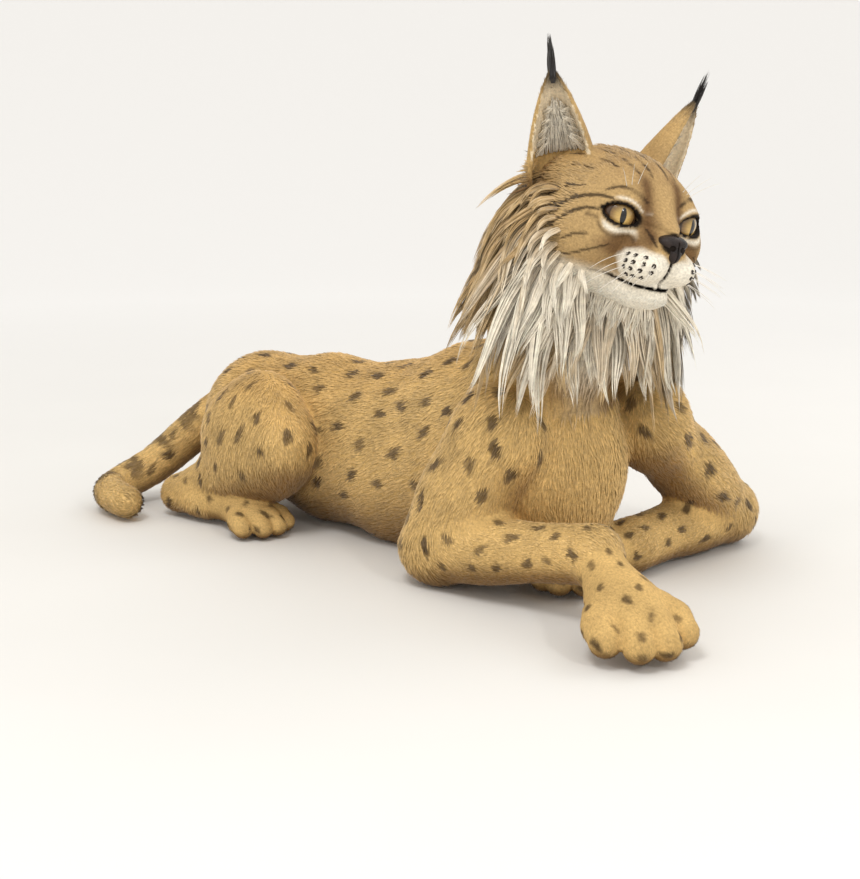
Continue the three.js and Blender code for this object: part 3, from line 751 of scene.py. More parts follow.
# Stripes through points in the head's frame, each with its half width in millimetres
EYE_STREAKS = [
    (2.6, [(56, 46, 24), (42, 55, 25), (26, 62, 19), (8, 69, 6), (-8, 73, -10)]),
    (2.1, [(50, 51, 12), (40, 57, 12), (27, 63, 5), (12, 68, -8)]),
    (1.4, [(48, 50, -6), (36, 56, -9), (24, 61, -16)]),
    (1.3, [(56, 38, -11), (44, 48, -18), (32, 55, -24), (22, 60, -26)]),
    (1.6, [(26, 54, 30), (6, 62, 26), (-14, 69, 14)]),
    (1.4, [(71, 18, 5), (76, 15, -2), (82, 14, -8)]),
]
BROW_STRIPES = [
    (2.0, [(50, 7, 42), (38, 8, 50), (26, 9, 56)]),
    (2.1, [(16, 9, 62), (0, 10, 67), (-18, 11, 69)]),
    (2.1, [(46, 17, 42), (34, 19, 49), (24, 21, 54)]),
    (2.0, [(14, 22, 58), (-2, 24, 63), (-20, 25, 64)]),
    (1.9, [(34, 29, 46), (22, 33, 51), (10, 36, 54)]),
    (1.8, [(2, 38, 56), (-14, 41, 57), (-28, 43, 55)]),
    (1.7, [(30, 0, 56), (12, 0, 64), (-6, 0, 68)]),
    (1.6, [(20, 44, 44), (6, 49, 46), (-8, 53, 46)]),
    (2.2, [(64, 15, 24), (60, 26, 31), (52, 37, 33), (44, 45, 28)]),
]
# Height of each row of whiskers, and the turn of each whisker's root from straight ahead
WHISKER_ROWS = [
    (-18, (34, 56, 78)),
    (-24, (18, 36, 56, 76)),
    (-30, (20, 40, 60, 80)),
    (-36, (34, 54, 74)),
]
WHISKER_MIDDLE = vec(72, 12, 0)


def whisker_roots(s):
    """Where the whiskers of one lip grow."""
    field = face_field()
    roots = []
    for z, turns in WHISKER_ROWS:
        for turn in turns:
            way = vec(math.cos(math.radians(turn)), s * math.sin(math.radians(turn)), 0)
            line = WHISKER_MIDDLE * vec(1, s, 1) + vec(0, 0, z) + np.linspace(4, 60, 200)[:, None] * way
            roots.append(line[np.argmax(field(line) > -1.5)])
    return np.array(roots)


# Millimetres between spots, by kind of part. The head and neck have none.
SPOTS_APART = {
    "trunk": 36.0,
    "head": 36.0,
    "neck": 36.0,
    "arm": 36.0,
    "forearm": 28.0,
    "paw": 23.0,
    "thigh": 33.0,
    "shank": 26.0,
    "sole": 24.0,
    "tail": 30.0,
}


def spots(settings, skin, seed=11, tries=9000):
    """Where the spots lie: middle, way, normal, half length, half width and strength."""
    rng = np.random.default_rng(seed)
    order = rng.permutation(len(skin["verts"]))[:tries]
    p, n, part, way = (skin[key][order] for key in ("verts", "normals", "part", "way"))
    names = np.array(NAMES)[part]
    apart = per_part(SPOTS_APART, part)
    skip = (names == "head") | (names == "neck") | (p[:, 2] < 14) | (n[:, 2] < -0.35)
    skip |= (names == "trunk") & (p[:, 0] > 215)
    kept = np.zeros(0, int)
    for i in np.flatnonzero(~skip):
        if not len(kept) or size_of((p[kept] - p[i]) * vec(0.8, 1, 1)).min() > apart[i] * 0.86:
            kept = np.append(kept, i)
    big = np.clip(apart[kept] / SPOTS_APART["trunk"], 0.42, 1) * settings.spot_length / MM / 2
    long = big * rng.uniform(0.6, 1.1, len(kept))
    wide = big * rng.uniform(0.42, 0.62, len(kept))
    side = np.cross(n[kept], way[kept])
    turned = unit(way[kept] + side * rng.normal(0, 0.3, (len(kept), 1)))
    return p[kept], turned, n[kept], long, wide, rng.uniform(0.7, 1, len(kept))


def spot_mask(p, placed):
    """How dark each point is for the spots, with ragged edges."""
    at, way, normal, long, wide, strong = placed
    side = np.cross(normal, way)
    mask = np.zeros(len(p))
    wobble = 1 + 0.22 * noise(p, 9, 5)
    for i in range(len(at)):
        near = np.flatnonzero(np.abs(p - at[i]).max(1) < long[i] * 1.5)
        if not len(near):
            continue
        q = p[near] - at[i]
        far = np.hypot(q @ way[i] / long[i], q @ side[i] / wide[i]) * wobble[near]
        flat = np.abs(q @ normal[i]) < long[i]
        mask[near] = np.maximum(mask[near], (1 - step(0.62, 1.12, far)) * strong[i] * flat)
    return mask


def coat_colour(colours, p, normal, far, placed):
    """Colour of the coat at each point. Roots and tips differ from it in lightness only."""
    names = np.array(NAMES)[far.argmin(1)]
    spine_share = 0.75 * step(0.35, 0.95, normal[:, 2]) * (p[:, 2] > 120)
    tint = mix(colours.tan, colours.back, spine_share[:, None])
    # Painted shade: wherever the skin faces down, the underside turns the dark brown of the belly colour
    low = step(-0.05, -0.75, normal[:, 2]) * 0.85
    tint = mix(tint, colours.belly, low[:, None])
    tint = tint * (1 + 0.10 * noise(p, 60, 3) + 0.05 * noise(p, 17, 4))[:, None]
    chest = step(180, 240, p[:, 0]) * (names == "trunk")
    tint = mix(tint, colours.tan * 1.08, 0.6 * chest[:, None])
    tint = mix(tint, colours.spot, (0.88 * spot_mask(p, placed))[:, None])
    tail = names == "tail"
    if tail.any():
        spine = curve(TAIL, 60)
        along = np.linalg.norm(p[tail][:, None] - spine[None], axis=2).argmin(1) / (len(spine) - 1)
        smudges = np.sin(along * 34 + noise(p[tail], 30, 9)) + 0.4 * noise(p[tail], 16, 8)
        smudges = step(0.1, 0.7, smudges)
        smudges = smudges * step(-0.2, 0.6, normal[tail][:, 2]) * step(0.86, 0.7, along) * 0.7
        tint[tail] = mix(tint[tail], colours.spot, smudges[:, None])
        tint[tail] = mix(tint[tail], colours.tan * 1.1, (0.7 * step(0.74, 0.86, along))[:, None])
    head = (names == "head") | (names == "neck")
    if head.any():
        tint[head] = face_colour(colours, to_head(p[head]), tint[head])
    return np.clip(tint, 0.002, 1)


def face_colour(colours, q, tint):
    """The face over the coat's colour.

    Q is in the head's frame, and r is its mirror image on the left."""
    side = np.sign(q[:, 1]) + (q[:, 1] == 0)
    r = q * np.stack([np.ones(len(q)), side, np.ones(len(q))], 1)
    face = step(-70, 20, q[:, 0])
    grey = noise(q, 11, 21)
    tint = mix(tint, colours.face, 0.8 * face[:, None])
    # Painted shade: brown down each side of the nose bridge
    painted_shade_by_nose = np.exp(-(((r[:, 1] - 17) / 6.5) ** 2))
    painted_shade_by_nose = painted_shade_by_nose * step(44, 60, q[:, 0]) * step(96, 84, q[:, 0]) * step(-20, -4, q[:, 2])
    tint = mix(tint, colours.brown * 0.85, 0.9 * painted_shade_by_nose[:, None])
    crown = step(28, 60, q[:, 2]) * (1 - step(20, 60, r[:, 1]))
    tint = mix(tint, colours.brown, (0.22 * crown * (1 + 0.5 * grey))[:, None])
    # Painted shade: a brown patch in the recess between each eye and the nose
    painted_shade_eye_to_nose = np.linalg.norm((r - vec(62, 32, -13)) / vec(30, 26, 12), axis=1)
    tint = mix(tint, colours.brown, (0.8 * (1 - step(0.5, 1.2, painted_shade_eye_to_nose)))[:, None])
    temple = step(6, -26, q[:, 0]) * step(40, 58, r[:, 1]) * step(44, 22, q[:, 2])
    tint = mix(tint, colours.brown, (0.6 * temple * (1 + 0.4 * grey))[:, None])
    pads = np.minimum(
        np.linalg.norm((r - vec(80, 16, -28)) / vec(25, 24, 16), axis=1),
        np.linalg.norm((r - vec(64, 0, -56)) / vec(46, 34, 20), axis=1),
    )
    jowl = step(-24, -40, q[:, 2] + 0.12 * q[:, 0]) * step(-34, 6, q[:, 0])
    pale = np.maximum(1 - step(0.92, 1.16, pads + 0.05 * grey), 0.9 * jowl)
    tint = mix(tint, colours.white, pale[:, None])
    for s in (1, -1):
        e = in_eye(q, s)
        gap = lid_opening(q, s)
        facing = (e[:, 0] > 1) * (size_of(e) < EYE_R + 14)
        below = np.exp(-(((gap - 3.9) / 1.5) ** 2)) * facing * step(5, -3, e[:, 2])
        below = below * step(-19, -12, e[:, 1]) * step(19, 13, e[:, 1])
        above = np.exp(-(((gap - 5.0) / 1.3) ** 2)) * facing * step(3, 8, e[:, 2])
        above = above * step(12, 2, e[:, 1]) * 0.8
        tint = mix(tint, colours.white, np.clip(below + above, 0, 0.92)[:, None])
        under_white = np.exp(-(((gap - 6.7) / 1.0) ** 2)) * facing * step(3, -4, e[:, 2]) * 0.6
        tint = mix(tint, colours.spot, under_white[:, None])
        rim = (1 - step(1.3, 2.1 + 0.9 * (e[:, 2] > 0), gap)) * facing
        rim = rim * step(EYE_R + 8, EYE_R + 4.5, size_of(e))
        tint = mix(tint, colours.spot * 0.2, rim[:, None])
    e = in_ear(r, 1)
    off_ear = 1 - step(0, 5, e[:, 2]) * (np.abs(e[:, 1]) < 46) * (np.abs(e[:, 0]) < 50)
    for wide, points in EYE_STREAKS:
        strength = 0.85 * off_ear * line_mark(r, points, wide)
        tint = mix(tint, colours.spot * 0.55, strength[:, None])
    for wide, points in BROW_STRIPES:
        broken = 0.45 + 0.55 * step(-0.5, 0.3, noise(q, 15, 23))
        strength = 0.88 * off_ear * broken * line_mark(r, points, wide)
        tint = mix(tint, colours.spot * 0.7, strength[:, None])
    lips = np.abs(q[:, 2] - mouth_height(q[:, 0]))
    lips = (1 - step(0.8, 1.9, lips)) * step(42, 52, q[:, 0])
    tint = mix(tint, colours.spot * 0.22, lips[:, None])
    cleft = (1 - step(1.0, 2.2, np.abs(q[:, 1]))) * step(80, 90, q[:, 0])
    cleft = cleft * (q[:, 2] < -8) * (q[:, 2] > -46)
    tint = mix(tint, colours.spot * 0.3, cleft[:, None])
    under_nose = np.linalg.norm((q - vec(96, 0, -4)) / vec(13, 14, 10), axis=1)
    tint = mix(tint, colours.spot * 0.2, (1 - step(0.9, 1.1, under_nose))[:, None])
    for s in (1, -1):
        e = in_ear(q, s)
        t, out, front, _ = ear_parts(e)
        on = (e[:, 2] > -4) & (np.abs(e[:, 1]) < 44) & (np.abs(e[:, 0]) < 50)
        cup = on & (out < -2.5) & (e[:, 2] > 4) & (front < 0.36)
        tint = np.where(cup[:, None], mix(tint, linear("#fdebcb"), 0.9), tint)
        tip = on * step(0.72, 0.98, t) * 0.85
        tint = mix(tint, colours.spot * 0.3, tip[:, None])
        behind = on * (out > -2.2) * step(0.1, 0.35, t) * (1 - step(0.3, 0.6, t)) * 0.15
        tint = mix(tint, colours.spot, behind[:, None])
    return tint


# Mesh objects
def new_object(name, verts, faces, colour=None, uv=None, material=None):
    """An object in metres from millimetre points and faces of one corner count.

    Colour is one linear RGB row a point, and uv is one row a point or one a corner of the faces."""
    mesh = bpy.data.meshes.new(name)
    corners = faces.shape[1]
    mesh.vertices.add(len(verts))
    mesh.vertices.foreach_set("co", (np.asarray(verts) * MM).astype(np.float32).ravel())
    mesh.loops.add(faces.size)
    mesh.loops.foreach_set("vertex_index", faces.astype(np.int32).ravel())
    mesh.polygons.add(len(faces))
    mesh.polygons.foreach_set("loop_start", np.arange(0, faces.size, corners, dtype=np.int32))
    mesh.polygons.foreach_set("use_smooth", np.ones(len(faces), bool))
    mesh.update(calc_edges=True)
    if colour is not None:
        layer = mesh.color_attributes.new("marking", "FLOAT_COLOR", "POINT")
        rgba = np.concatenate([colour, np.ones((len(colour), 1))], 1).astype(np.float32)
        layer.data.foreach_set("color", rgba.ravel())
    if uv is not None:
        layer = mesh.uv_layers.new(name="OFBake")
        flat = uv if len(uv) == faces.size else uv[faces.ravel()]
        layer.data.foreach_set("uv", flat.astype(np.float32).ravel())
    if material:
        mesh.materials.append(material)
    mesh.validate()
    made = bpy.data.objects.new(name, mesh)
    bpy.context.collection.objects.link(made)
    return made


def place(obj, slot, *nodes):
    """Says what body carries a piece and the solids that it stands for. The slot is not used."""
    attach(obj, "root")
    if nodes:
        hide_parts(*nodes)


def strands(paths, ups, half, thick):
    """Points, faces and the share along and across of closed three-sided strands that end in a point.

    Paths and ups are (count, steps, 3), half widths and thicknesses are (count, steps - 1)."""
    count, steps = paths.shape[:2]
    go = unit(np.gradient(paths, axis=1))
    side = unit(np.cross(go, ups))
    flat = np.cross(side, go)
    ring = paths[:, :-1, None] + side[:, :-1, None] * (half[..., None] * vec(1, 0, -1))[..., None]
    ring = ring + flat[:, :-1, None] * (thick[..., None] * vec(-0.4, 0.6, -0.4))[..., None]
    verts = np.concatenate([ring.reshape(count, -1, 3), paths[:, -1:]], 1)
    n = verts.shape[1]
    faces = [[0, 1, 2]]
    for i in range(steps - 2):
        for k in range(3):
            a, b = 3 * i + k, 3 * i + (k + 1) % 3
            faces += [[b, a, a + 3], [b, a + 3, b + 3]]
    for k in range(3):
        a, b = n - 4 + k, n - 4 + (k + 1) % 3
        faces.append([b, a, n - 1])
    faces = (np.array(faces)[None] + (np.arange(count) * n)[:, None, None]).reshape(-1, 3)
    rows = np.append(np.repeat(np.linspace(0, 1, steps)[:-1], 3), 1.0)
    cols = np.append(np.tile([1.0, 0.0, -1.0], steps - 1), 0.0)
    return verts.reshape(-1, 3), faces, np.tile(rows, count), np.tile(cols, count), n


# The lowest that hair lies over the floor, and the width of a strand's patch on the unwrap
HAIR_OFF_FLOOR = 0.35
STRAND_PATCH = 0.003


def strand_object(name, shape, tints, root_uv, material, skin_normal, blend):
    """A piece of strands. Blend is how far their shading follows the skin instead of their own faces.

    Shape is paths, ups, half widths and thicknesses, and tints are the colours of roots and tips."""
    verts, faces, rows, cols, n = strands(*shape)
    verts[:, 2] = np.maximum(verts[:, 2], HAIR_OFF_FLOOR)
    root, tip = (np.repeat(tint, n, 0) for tint in tints)
    colour = mix(root, tip, rows[:, None])
    patch = np.stack([cols * STRAND_PATCH / 2, (rows - 0.5) * STRAND_PATCH], 1)
    uv = np.repeat(root_uv, n, 0) + patch
    made = new_object(name, verts, faces, colour, uv, material)
    own = np.empty(len(verts) * 3, np.float32)
    made.data.vertex_normals.foreach_get("vector", own)
    base = np.repeat(skin_normal, n, 0)
    normals = unit(own.reshape(-1, 3) * (1 - blend) + base * blend)
    made.data.normals_split_custom_set_from_vertices(normals)
    return made


# Materials
def add(tree, kind, inputs=(), links=(), **settings):
    """Adds a node with its settings, its input values and its links."""
    made = tree.nodes.new(kind)
    for key, value in settings.items():
        setattr(made, key, value)
    for key, value in dict(inputs).items():
        made.inputs[key].default_value = value
    for key, source in dict(links).items():
        tree.links.new(source, made.inputs[key])
    return made


def fresh(name):
    """A material of that name with no nodes, and its node tree."""
    material = bpy.data.materials.get(name) or bpy.data.materials.new(name)
    material.use_nodes = True
    material.node_tree.nodes.clear()
    return material, material.node_tree


def finish_material(tree, shader):
    add(tree, "ShaderNodeOutputMaterial", links={"Surface": shader.outputs["BSDF"]})


def fur_material(name, rough, sheen, grain):
    """Keratin guard hair: each tuft has the coat's own colour, a soft gloss and a fine uneven tone.

    Grain is how many millimetres the tone takes to change."""
    material, tree = fresh(name)
    marking = add(tree, "ShaderNodeAttribute", attribute_name="marking")
    where = add(tree, "ShaderNodeTexCoord")
    tone = add(
        tree,
        "ShaderNodeTexNoise",
        inputs={"Scale": 1 / (grain * MM), "Detail": 3.0, "Roughness": 0.6},
        links={"Vector": where.outputs["Object"]},
    )
    shade = add(
        tree,
        "ShaderNodeMapRange",
        inputs={"From Min": 0.3, "From Max": 0.7, "To Min": 0.78, "To Max": 1.16},
        links={"Value": tone.outputs["Fac"]},
    )
    tinted = add(
        tree,
        "ShaderNodeVectorMath",
        operation="MULTIPLY",
        links={0: marking.outputs["Color"], 1: shade.outputs["Result"]},
    )
    shader = add(
        tree,
        "ShaderNodeBsdfPrincipled",
        inputs={
            "Roughness": rough,
            "Specular IOR Level": 0.35,
            "Sheen Weight": sheen,
            "Sheen Roughness": 0.5,
        },
        links={"Base Color": tinted.outputs["Vector"]},
    )
    finish_material(tree, shader)
    return material


def short_fur():
    return fur_material("Short guard hair", rough=0.62, sheen=0.15, grain=5)


def skin_material():
    """Skin under the coat, which shows only as the dark, matte bed of underfur between the tufts."""
    material, tree = fresh("Underfur on skin")
    marking = add(tree, "ShaderNodeAttribute", attribute_name="marking")
    where = add(tree, "ShaderNodeTexCoord")
    # Underfur about 1 mm thick, drawn at 2.5 mm so that it shows
    tone = add(
        tree,
        "ShaderNodeTexNoise",
        inputs={"Scale": 400.0, "Detail": 4.0},
        links={"Vector": where.outputs["Object"]},
    )
    shade = add(
        tree,
        "ShaderNodeMapRange",
        inputs={"From Min": 0.3, "From Max": 0.7, "To Min": 0.66, "To Max": 0.98},
        links={"Value": tone.outputs["Fac"]},
    )
    tinted = add(
        tree,
        "ShaderNodeVectorMath",
        operation="MULTIPLY",
        links={0: marking.outputs["Color"], 1: shade.outputs["Result"]},
    )
    bump = add(
        tree,
        "ShaderNodeBump",
        inputs={"Strength": 0.6, "Distance": 0.001},
        links={"Height": tone.outputs["Fac"]},
    )
    shader = add(
        tree,
        "ShaderNodeBsdfPrincipled",
        inputs={"Roughness": 0.85, "Specular IOR Level": 0.2},
        links={"Base Color": tinted.outputs["Vector"], "Normal": bump.outputs["Normal"]},
    )
    finish_material(tree, shader)
    return material


def nose_material():
    """Nose leather: bare, damp, nearly black skin with a fine pebble that breaks its gloss."""
    material, tree = fresh("Nose leather")
    where = add(tree, "ShaderNodeTexCoord")
    # Pebbles 1.1 mm apart, and blotches that change over about 11 mm
    pebble = add(
        tree,
        "ShaderNodeTexVoronoi",
        inputs={"Scale": 900.0},
        links={"Vector": where.outputs["Object"]},
    )
    blotch = add(
        tree,
        "ShaderNodeTexNoise",
        inputs={"Scale": 90.0, "Detail": 3.0},
        links={"Vector": where.outputs["Object"]},
    )
    ramp = add(tree, "ShaderNodeValToRGB", links={"Fac": blotch.outputs["Fac"]})
    ramp.color_ramp.elements[0].position = 0.35
    ramp.color_ramp.elements[0].color = (*linear("#120c0a"), 1)
    ramp.color_ramp.elements[1].position = 0.7
    ramp.color_ramp.elements[1].color = (*linear("#2e221d"), 1)
    bump = add(
        tree,
        "ShaderNodeBump",
        inputs={"Strength": 0.5, "Distance": 0.0006},
        links={"Height": pebble.outputs["Distance"]},
    )
    shader = add(
        tree,
        "ShaderNodeBsdfPrincipled",
        inputs={"Roughness": 0.42, "Specular IOR Level": 0.3},
        links={"Base Color": ramp.outputs["Color"], "Normal": bump.outputs["Normal"]},
    )
    finish_material(tree, shader)
    return material


CORNEA_IOR = 1.376


def eye_material():
    """Eye: iris fibres under a wet, clear cornea that gives small sharp highlights."""
    material, tree = fresh("Wet eye")
    marking = add(tree, "ShaderNodeAttribute", attribute_name="marking")
    shader = add(
        tree,
        "ShaderNodeBsdfPrincipled",
        inputs={
            "Roughness": 0.35,
            "IOR": CORNEA_IOR,
            "Coat Weight": 1.0,
            "Coat Roughness": 0.03,
            "Coat IOR": CORNEA_IOR,
        },
        links={"Base Color": marking.outputs["Color"]},
    )
    finish_material(tree, shader)
    return material


def whisker_material():
    """Whisker: stiff, smooth keratin, off-white and a little glossy."""
    material, tree = fresh("Whisker keratin")
    where = add(tree, "ShaderNodeTexCoord")
    tone = add(
        tree,
        "ShaderNodeTexNoise",
        inputs={"Scale": 60.0},
        links={"Vector": where.outputs["Object"]},
    )
    ramp = add(tree, "ShaderNodeValToRGB", links={"Fac": tone.outputs["Fac"]})
    ramp.color_ramp.elements[0].color = (*linear("#d8cdbb"), 1)
    ramp.color_ramp.elements[1].color = (*linear("#fbf6ec"), 1)
    shader = add(
        tree,
        "ShaderNodeBsdfPrincipled",
        inputs={"Roughness": 0.3},
        links={"Base Color": ramp.outputs["Color"]},
    )
    finish_material(tree, shader)
    return material


def floor_material():
    """Floor: matte painted board with a hardly seen mottle, paler far away where less light falls."""
    material, tree = fresh("Matte pale floor")
    where = add(tree, "ShaderNodeTexCoord")
    tone = add(
        tree,
        "ShaderNodeTexNoise",
        inputs={"Scale": 3.0, "Detail": 2.0},
        links={"Vector": where.outputs["Object"]},
    )
    distance = add(
        tree,
        "ShaderNodeVectorMath",
        operation="LENGTH",
        links={0: where.outputs["Object"]},
    )
    away = add(
        tree,
        "ShaderNodeMapRange",
        inputs={"From Min": 0.6, "From Max": 3.2, "To Min": 0.0, "To Max": 1.0},
        links={"Value": distance.outputs["Value"]},
    )
    ramp = add(tree, "ShaderNodeValToRGB", links={"Fac": tone.outputs["Fac"]})
    ramp.color_ramp.elements[0].color = (*linear("#e2e0dc"), 1)
    ramp.color_ramp.elements[1].color = (*linear("#e7e5e1"), 1)
    paint = add(
        tree,
        "ShaderNodeMix",
        data_type="RGBA",
        links={0: away.outputs["Result"], 6: ramp.outputs["Color"]},
    )
    paint.inputs[7].default_value = (*linear("#fdfcfb"), 1)
    shader = add(
        tree,
        "ShaderNodeBsdfPrincipled",
        inputs={"Roughness": 0.7},
        links={"Base Color": paint.outputs[2]},
    )
    finish_material(tree, shader)
    return material


# Shared by the operators: made once, when first asked for
made_once = {}


def skin_data():
    """The skin's points, faces, normals, parts of the body and lie of the coat."""
    if "skin" in made_once:
        return made_once["skin"]
    coarse, fine = ((6.4, 2.3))
    # Fine where the head and the crossed forelegs are
    axes = [
        rising((-524, 186, coarse), (186, 420, fine), (420, 520, coarse * 0.7)),
        rising((-250, -176, coarse * 0.7), (-176, 62, fine), (62, 330, coarse)),
        rising((-6, 66, coarse * 0.7), (66, 312, coarse), (312, 588, fine)),
    ]
    field = whole_skin()
    verts, faces = surface_net(field, axes)
    normals = point_normals(verts, faces)
    far = part_distances(verts)
    made_once["skin"] = {
        "field": field,
        "verts": verts,
        "faces": faces,
        "normals": normals,
        "far": far,
        "part": far.argmin(1),
        "way": lie_of_coat(verts, normals, far),
    }
    return made_once["skin"]


def spot_places():
    if "spots" not in made_once:
        made_once["spots"] = spots(bpy.context.scene.lynx_sizes, skin_data())
    return made_once["spots"]


def palette():
    """Colours of the coat in linear RGB, by name."""
    group = bpy.context.scene.lynx_colours
    tints = {name: np.array(getattr(group, name)[:3], float) for name in group.__annotations__}
    return SimpleNamespace(**tints)


def scatter(density, rng):
    """Roots on the skin, with so many to the square millimetre at each point."""
    skin = skin_data()
    faces, verts = skin["faces"], skin["verts"]
    tris = np.concatenate([faces[:, [0, 1, 2]], faces[:, [0, 2, 3]]])
    order = np.argsort(tris[:, 0], kind="stable")
    tris = tris[order]
    a, b, c = (verts[tris[:, i]] for i in range(3))
    area = np.linalg.norm(np.cross(b - a, c - a), axis=1) / 2
    share = np.cumsum(area * density[tris].mean(1))
    count = int(share[-1])
    pick = np.searchsorted(share, (np.arange(count) + rng.uniform(0, 1, count)) * share[-1] / count)
    pick = np.minimum(pick, len(tris) - 1)
    u, v = rng.uniform(0, 1, (2, count, 1))
    flip = u + v > 1
    u, v = np.where(flip, 1 - u, u), np.where(flip, 1 - v, v)
    first, second, third = (tris[pick, i] for i in range(3))

    def blend(values):
        return values[first] * (1 - u - v) + values[second] * u + values[third] * v

    root, normal = blend(verts), unit(blend(skin["normals"]))
    part = skin["part"][first]
    way = unit(blend(skin["way"]))
    way = unit(way - normal * (way * normal).sum(1, keepdims=True))
    return root, normal, way, part


# Long hair
def ray_out(field, start, way, reach=170):
    """The last point inside the field on each ray."""
    start, way = np.broadcast_arrays(np.asarray(start, float), unit(np.asarray(way, float)))
    far = np.linspace(0, reach, 86)
    line = start[:, None] + far[None, :, None] * way[:, None]
    level = field(line.reshape(-1, 3)).reshape(len(start), -1)
    last = (level < 0) * np.arange(len(far))
    low = far[last.max(1)]
    high = low + far[1]
    for _ in range(8):
        middle = (low + high) / 2
        inside = field(start + middle[:, None] * way) < 0
        low, high = np.where(inside, middle, low), np.where(inside, high, middle)
    return start + low[:, None] * way


def comb(field, guides, steps=9, sink=6, lift=8):
    """Lines of the locks: each starts under the skin, falls, bends and stays off the body.

    Sink is how deep it starts, and lift is how far its tip stays off the body."""
    root, out, way = guides["root"], guides["out"], guides["way"]
    at, go = root - out * sink, unit(way)
    path, ups = [at], [out]
    times = np.linspace(0, 1, steps) ** 1.1
    straight = 0 * guides["length"]
    wave, phase = guides.get("wave", straight), guides.get("phase", straight)
    for t, dt in zip(times[1:], np.diff(times)):
        after = at + go * (guides["length"] * dt)[:, None]
        grad = unit(slope(field, after, 1.5))
        short = np.maximum(lift * (0.35 + t) - field(after), 0)
        after = after + grad * np.minimum(short, 14)[:, None]
        go = unit(after - at)
        at = after
        flat = unit(out - go * (out * go).sum(1, keepdims=True))
        side = np.cross(go, flat)
        path.append(at)
        ups.append(flat)
        turn = guides["bend"] + wave * np.cos(phase + t * 6.5)
        go = unit(go - UP * (guides["fall"] * dt * 5)[:, None] + side * (turn * dt * 5)[:, None])
    return np.stack(path, 1), np.stack(ups, 1)


def bundle(paths, ups, guides, each, rng, fine, thin=0.32):
    """Fine strands round each guide, spread at its root and drawn together at its tip.

    Fine is a strand's width, and thin is its thickness as a share of that."""
    count, steps = paths.shape[:2]
    number = np.repeat(np.arange(count), each)
    total = len(number)
    base, up = paths[number], ups[number]
    go = unit(np.gradient(base, axis=1))
    side = unit(np.cross(go, up))
    flat = np.cross(side, go)
    t = np.linspace(0, 1, steps)
    width = guides["width"][number]
    across = rng.uniform(-1, 1, total)
    high = rng.uniform(-1, 1, total) * np.sqrt(1 - across**2)
    shape = np.interp(t, [0, 0.2, 0.5, 0.8, 1], [0.62, 1, 0.8, 0.42, 0.1])
    wave = np.sin(t[None] * rng.uniform(3, 7, (total, 1)) + rng.uniform(0, TAU, (total, 1)))
    wave = wave * rng.uniform(0.3, 1.6, (total, 1)) * t
    offset = (across * width / 2)[:, None] * shape + wave
    rise = (high * width * 0.22)[:, None] * shape + 0.4 * wave
    line = base + side * offset[..., None] + flat * rise[..., None]
    share = rng.uniform(0.68, 1.0, total)
    share[rng.uniform(0, 1, total) < 0.25] *= 0.8
    want = np.clip(t[None] * share[:, None], 0, 1) * (steps - 1)
    low = np.minimum(want.astype(int), steps - 2)
    part = (want - low)[..., None]
    rows = np.arange(total)[:, None]
    line = mix(line[rows, low], line[rows, low + 1], part)
    taper = np.interp(t[:-1], [0, 0.3, 0.75, 1], [0.7, 1, 0.72, 0.3])
    half = (fine * rng.uniform(0.7, 1.25, total))[:, None] * taper / 2
    return line, up, half, half * 2 * thin, number


def guides_from(**values):
    """What the locks of a group are like, one value or row for each lock."""
    count = len(values["root"])
    return {key: np.broadcast_to(value, (count, *np.shape(value)[1:])) for key, value in values.items()}


def at_share(line, share):
    """The points of a line at shares of its length from 0 to 1."""
    return line[(share * (len(line) - 1)).astype(int)]


# From below the ear round the cheek to the chin, in the head's frame
RUFF_LINE = [(-24, 62, 26), (-6, 76, 2), (10, 70, -30), (30, 50, -54), (56, 12, -64)]
# Shares of that line, and how long the locks are there
LONGEST_LOCK = 178
RUFF_LENGTHS = ([0, 0.3, 0.5, 0.72, 0.86, 1], [96, 140, LONGEST_LOCK, 158, 96, 60])
# How far each row is behind the line, and how many locks it has
RUFF_ROWS = [(-22, 14), (-14, 15), (-6, 15), (3, 14), (12, 13), (22, 12), (33, 11), (44, 9), (56, 8)]
# Along the edge of the jaw to the chin, in the head's frame
JAW_LINE = [(2, 62, -46), (22, 50, -60), (44, 32, -68), (66, 14, -68), (76, 2, -64)]
# Inside the neck: from the crown down to the withers, and down the gullet
NAPE_LINE = [(246, -30, 462), (232, -26, 430), (214, -24, 380), (196, -20, 310)]
GULLET_LINE = [(262, -38, 372), (232, -26, 310), (206, -14, 256)]


def head_and_neck():
    """The form that the long locks grow out of."""
    head = face_field()
    return soft(20, FIELDS["neck"], lambda p: head(to_head(p)) * HEAD_SIZE)


